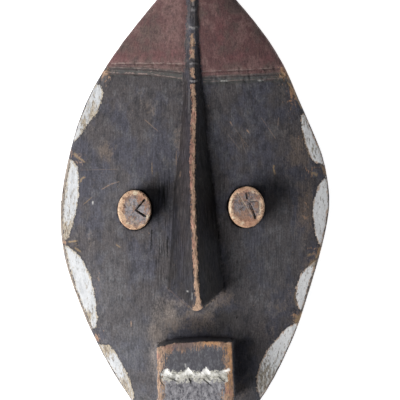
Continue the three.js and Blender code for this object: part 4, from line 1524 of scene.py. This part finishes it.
@dataclass
class Studio:
    """The floor, the lights and the camera. Sizes are metres."""

    floor_size: float = 6.0
    floor_drop: float = 0.0003
    floor_glow: float = 0.9
    camera_at: Triple = (0.0045, 0.01925, 1.9)
    lens: float = 191.3
    sensor: float = 36.0
    key_from: Triple = (-0.64, -0.285, 0.712)
    key_distance: float = 1.5
    key_size: float = 1.0
    key_power: float = 29.0
    key_colour: Colour = (1.0, 0.99, 0.975)
    fill: float = 0.15
    fill_colour: Colour = (0.93, 0.96, 1.0)
    floor_colours: tuple[Colour, Colour] = ((0.86, 0.86, 0.86), (0.90, 0.90, 0.90))
    floor_roughness: float = 0.9

    def build(self) -> bpy.types.Object:
        """Sets the stage, and returns its floor."""
        self.set_camera()
        self.set_lights()
        return self.lay_floor()

    def set_camera(self) -> None:
        """Hangs the camera over the mask, looking straight down."""
        data = bpy.data.cameras.new("camera")
        data.lens = self.lens
        data.sensor_width = self.sensor
        camera = bpy.data.objects.new("camera", data)
        camera.location = self.camera_at
        bpy.context.scene.collection.objects.link(camera)
        bpy.context.scene.camera = camera

    def set_lights(self) -> None:
        """Puts one soft light at the lower left and a pale surround."""
        data = bpy.data.lights.new("key", "AREA")
        data.shape = "DISK"
        data.size = self.key_size
        data.energy = self.key_power
        data.color = self.key_colour
        key = bpy.data.objects.new("key", data)
        direction = Vector(self.key_from).normalized()
        key.matrix_world = Matrix.Translation(direction * self.key_distance) @ (
            direction.to_track_quat("Z", "Y").to_matrix().to_4x4()
        )
        bpy.context.scene.collection.objects.link(key)
        world = bpy.data.worlds.new("surround")
        world.use_nodes = True
        sky = world.node_tree.nodes["Background"]
        sky.inputs["Color"].default_value = (*self.fill_colour, 1)
        sky.inputs["Strength"].default_value = self.fill
        bpy.context.scene.world = world
        bpy.context.scene.view_settings.view_transform = "Standard"

    def lay_floor(self) -> bpy.types.Object:
        """Lays a plain pale floor, bright enough to stay white under the lamp, and returns it."""
        shape = bmesh.new()
        bmesh.ops.create_grid(shape, x_segments=1, y_segments=1, size=self.floor_size / 2)
        bmesh.ops.translate(shape, verts=shape.verts, vec=(0, 0, -self.floor_drop))
        mesh = bpy.data.meshes.new("floor")
        shape.to_mesh(mesh)
        shape.free()
        floor = bpy.data.objects.new("floor", mesh)
        bpy.context.scene.collection.objects.link(floor)
        b = Bench("pale_floor")
        surface = b.add("ShaderNodeBsdfPrincipled")
        b.feed(surface.inputs["Base Color"], b.blend(b.noise((40, 40, 40), 2, 0.5), *self.floor_colours))
        surface.inputs["Roughness"].default_value = self.floor_roughness
        surface.inputs["Emission Color"].default_value = (1, 1, 1, 1)
        surface.inputs["Emission Strength"].default_value = self.floor_glow
        out = b.add("ShaderNodeOutputMaterial")
        b.tree.links.new(surface.outputs[0], out.inputs[0])
        mesh.materials.append(b.material)
        return floor


EYES = (
    EyePeg(
        "left_eye", "left_eye_branch", -52.2, 10.7, 29.6, 35.0,
        rim=(
            (-180, 5.4), (-120, 4.8), (-80, 3.2), (-45, 1.6), (0, 1.2), (45, 2.6), (90, 4.2), (140, 4.8),
            (180, 5.4),
        ),
        cracks=strokes(
            (0.55, 1.0, (1.5, 0), (9.6, 9.6)), (0.6, 1.0, (1.3, 0), (10.4, -6)),
            (0.4, 0.6, (-9.5, 6.0), (-7, 2.5)), (0.4, 0.5, (-9.5, 2.5), (-6, 1.5)),
        ),
        streaks=strokes(
            (0.9, 0.7, (-5.4, 8.0), (-5.0, 3.0)), (0.7, 0.5, (-2.0, 5.0), (-1.0, 1.0)),
            (1.4, 0.6, (-4.0, -7.0), (3.0, -12.0)),
        ),
        dabs_and_highlights=strokes(
            (1.8, 0.9, (-1.0, 15.4), (2.6, 14.4)),
            # painted highlight along the rim's left edge, where the lamp catches it
            (1.3, 0.25, (-9.5, 12.0), (-12.6, 6.5), (-13.6, -2.0), (-12.0, -9.5)),
            (1.2, 0.8, (10.8, -7.4), (12.0, -4.6)), (1.4, 0.7, (-5.6, -10.6), (-5.8, -12.4)),
        ),
        browns=patches((6.0, 10.6, 3.4, 4.0, 1.6), (-9.6, 0, 1.6, 9, 0.7), (9.5, 0, 2.0, 4, 0.4)),
        chips=patches((6.0, 11.4, 3.0, 3.4, 1.2), (-7.5, -13.5, 4, 3, 0.6), (11.5, 5, 2, 4, 0.5)),
        core=(0.335, 0.315, 0.330),
        core_dark=(0.165, 0.15, 0.155),
        core_brown=(0.36, 0.22, 0.15),
    ),
    EyePeg(
        "right_eye", "right_eye_branch", 44.8, 13.1, 31.8, 36.4,
        rim=(
            (-180, 3.6), (-130, 4.4), (-90, 5.2), (-45, 3.6), (0, 3.4), (40, 2.4), (90, 3.2), (140, 3.0),
            (180, 3.6),
        ),
        cracks=strokes(
            (0.62, 1.0, (2.5, 3.4), (4.6, -0.8), (6.0, -4.6), (7.8, -10.2)),
            (0.5, 0.8, (-0.2, 12.4), (0.5, 7.4)), (0.5, 0.7, (3.2, 4.4), (8.6, 4.8)),
            (0.4, 0.6, (-6.5, -2.5), (-1.8, 0.6)),
        ),
        streaks=strokes(
            (0.7, 1.0, (-8.6, 11.9), (-0.9, 1.3)), (0.4, 0.6, (-0.9, 1.3), (4.8, -7.3)),
            (0.6, 0.7, (3.4, 5.8), (8.6, 6.2)),
        ),
        dabs_and_highlights=strokes(
            # the second stroke runs along the rim's left edge: a painted highlight where the lamp catches it
            (0.9, 0.8, (-12.6, -8.4), (-10.4, -9.6)), (1.1, 0.7, (-12.8, 8.0), (-14.6, 1.0), (-14.0, -5.0)),
            (0.9, 0.5, (11.0, 6.0), (11.8, 2.0), (11.4, -6.0)), (1.1, 0.6, (-2.4, -13.0), (-5.0, -15.2)),
            (0.8, 0.6, (6.4, 12.8), (4.4, 13.6)),
        ),
        browns=patches(
            (-3.2, 8.6, 3.2, 5, 1.0), (8.2, 0.6, 2.6, 5, 0.9),
            (-2.0, -8.6, 10, 6, 1.3), (6.5, 9.5, 4, 3, 0.4),
        ),
        chips=patches((-3.5, 14.5, 6, 3, 0.9), (2.0, -14.2, 11, 4.4, 1.3), (9.5, 7.0, 2.4, 2.4, 0.6)),
        core=(0.190, 0.175, 0.185),
        core_dark=(0.095, 0.080, 0.080),
        core_brown=(0.290, 0.180, 0.130),
    ),
)


def report(piece: bpy.types.Object) -> None:
    """Logs a piece's name and size."""
    log.info("%s: %d points", piece.name, len(piece.data.vertices))


def main() -> None:
    logging.basicConfig(level=logging.INFO, format="%(name)s %(message)s")
    report(Studio().build())
    report(MaskBoard().build())
    for eye in EYES:
        report(eye.build())


if __name__ == "__main__":
    main()
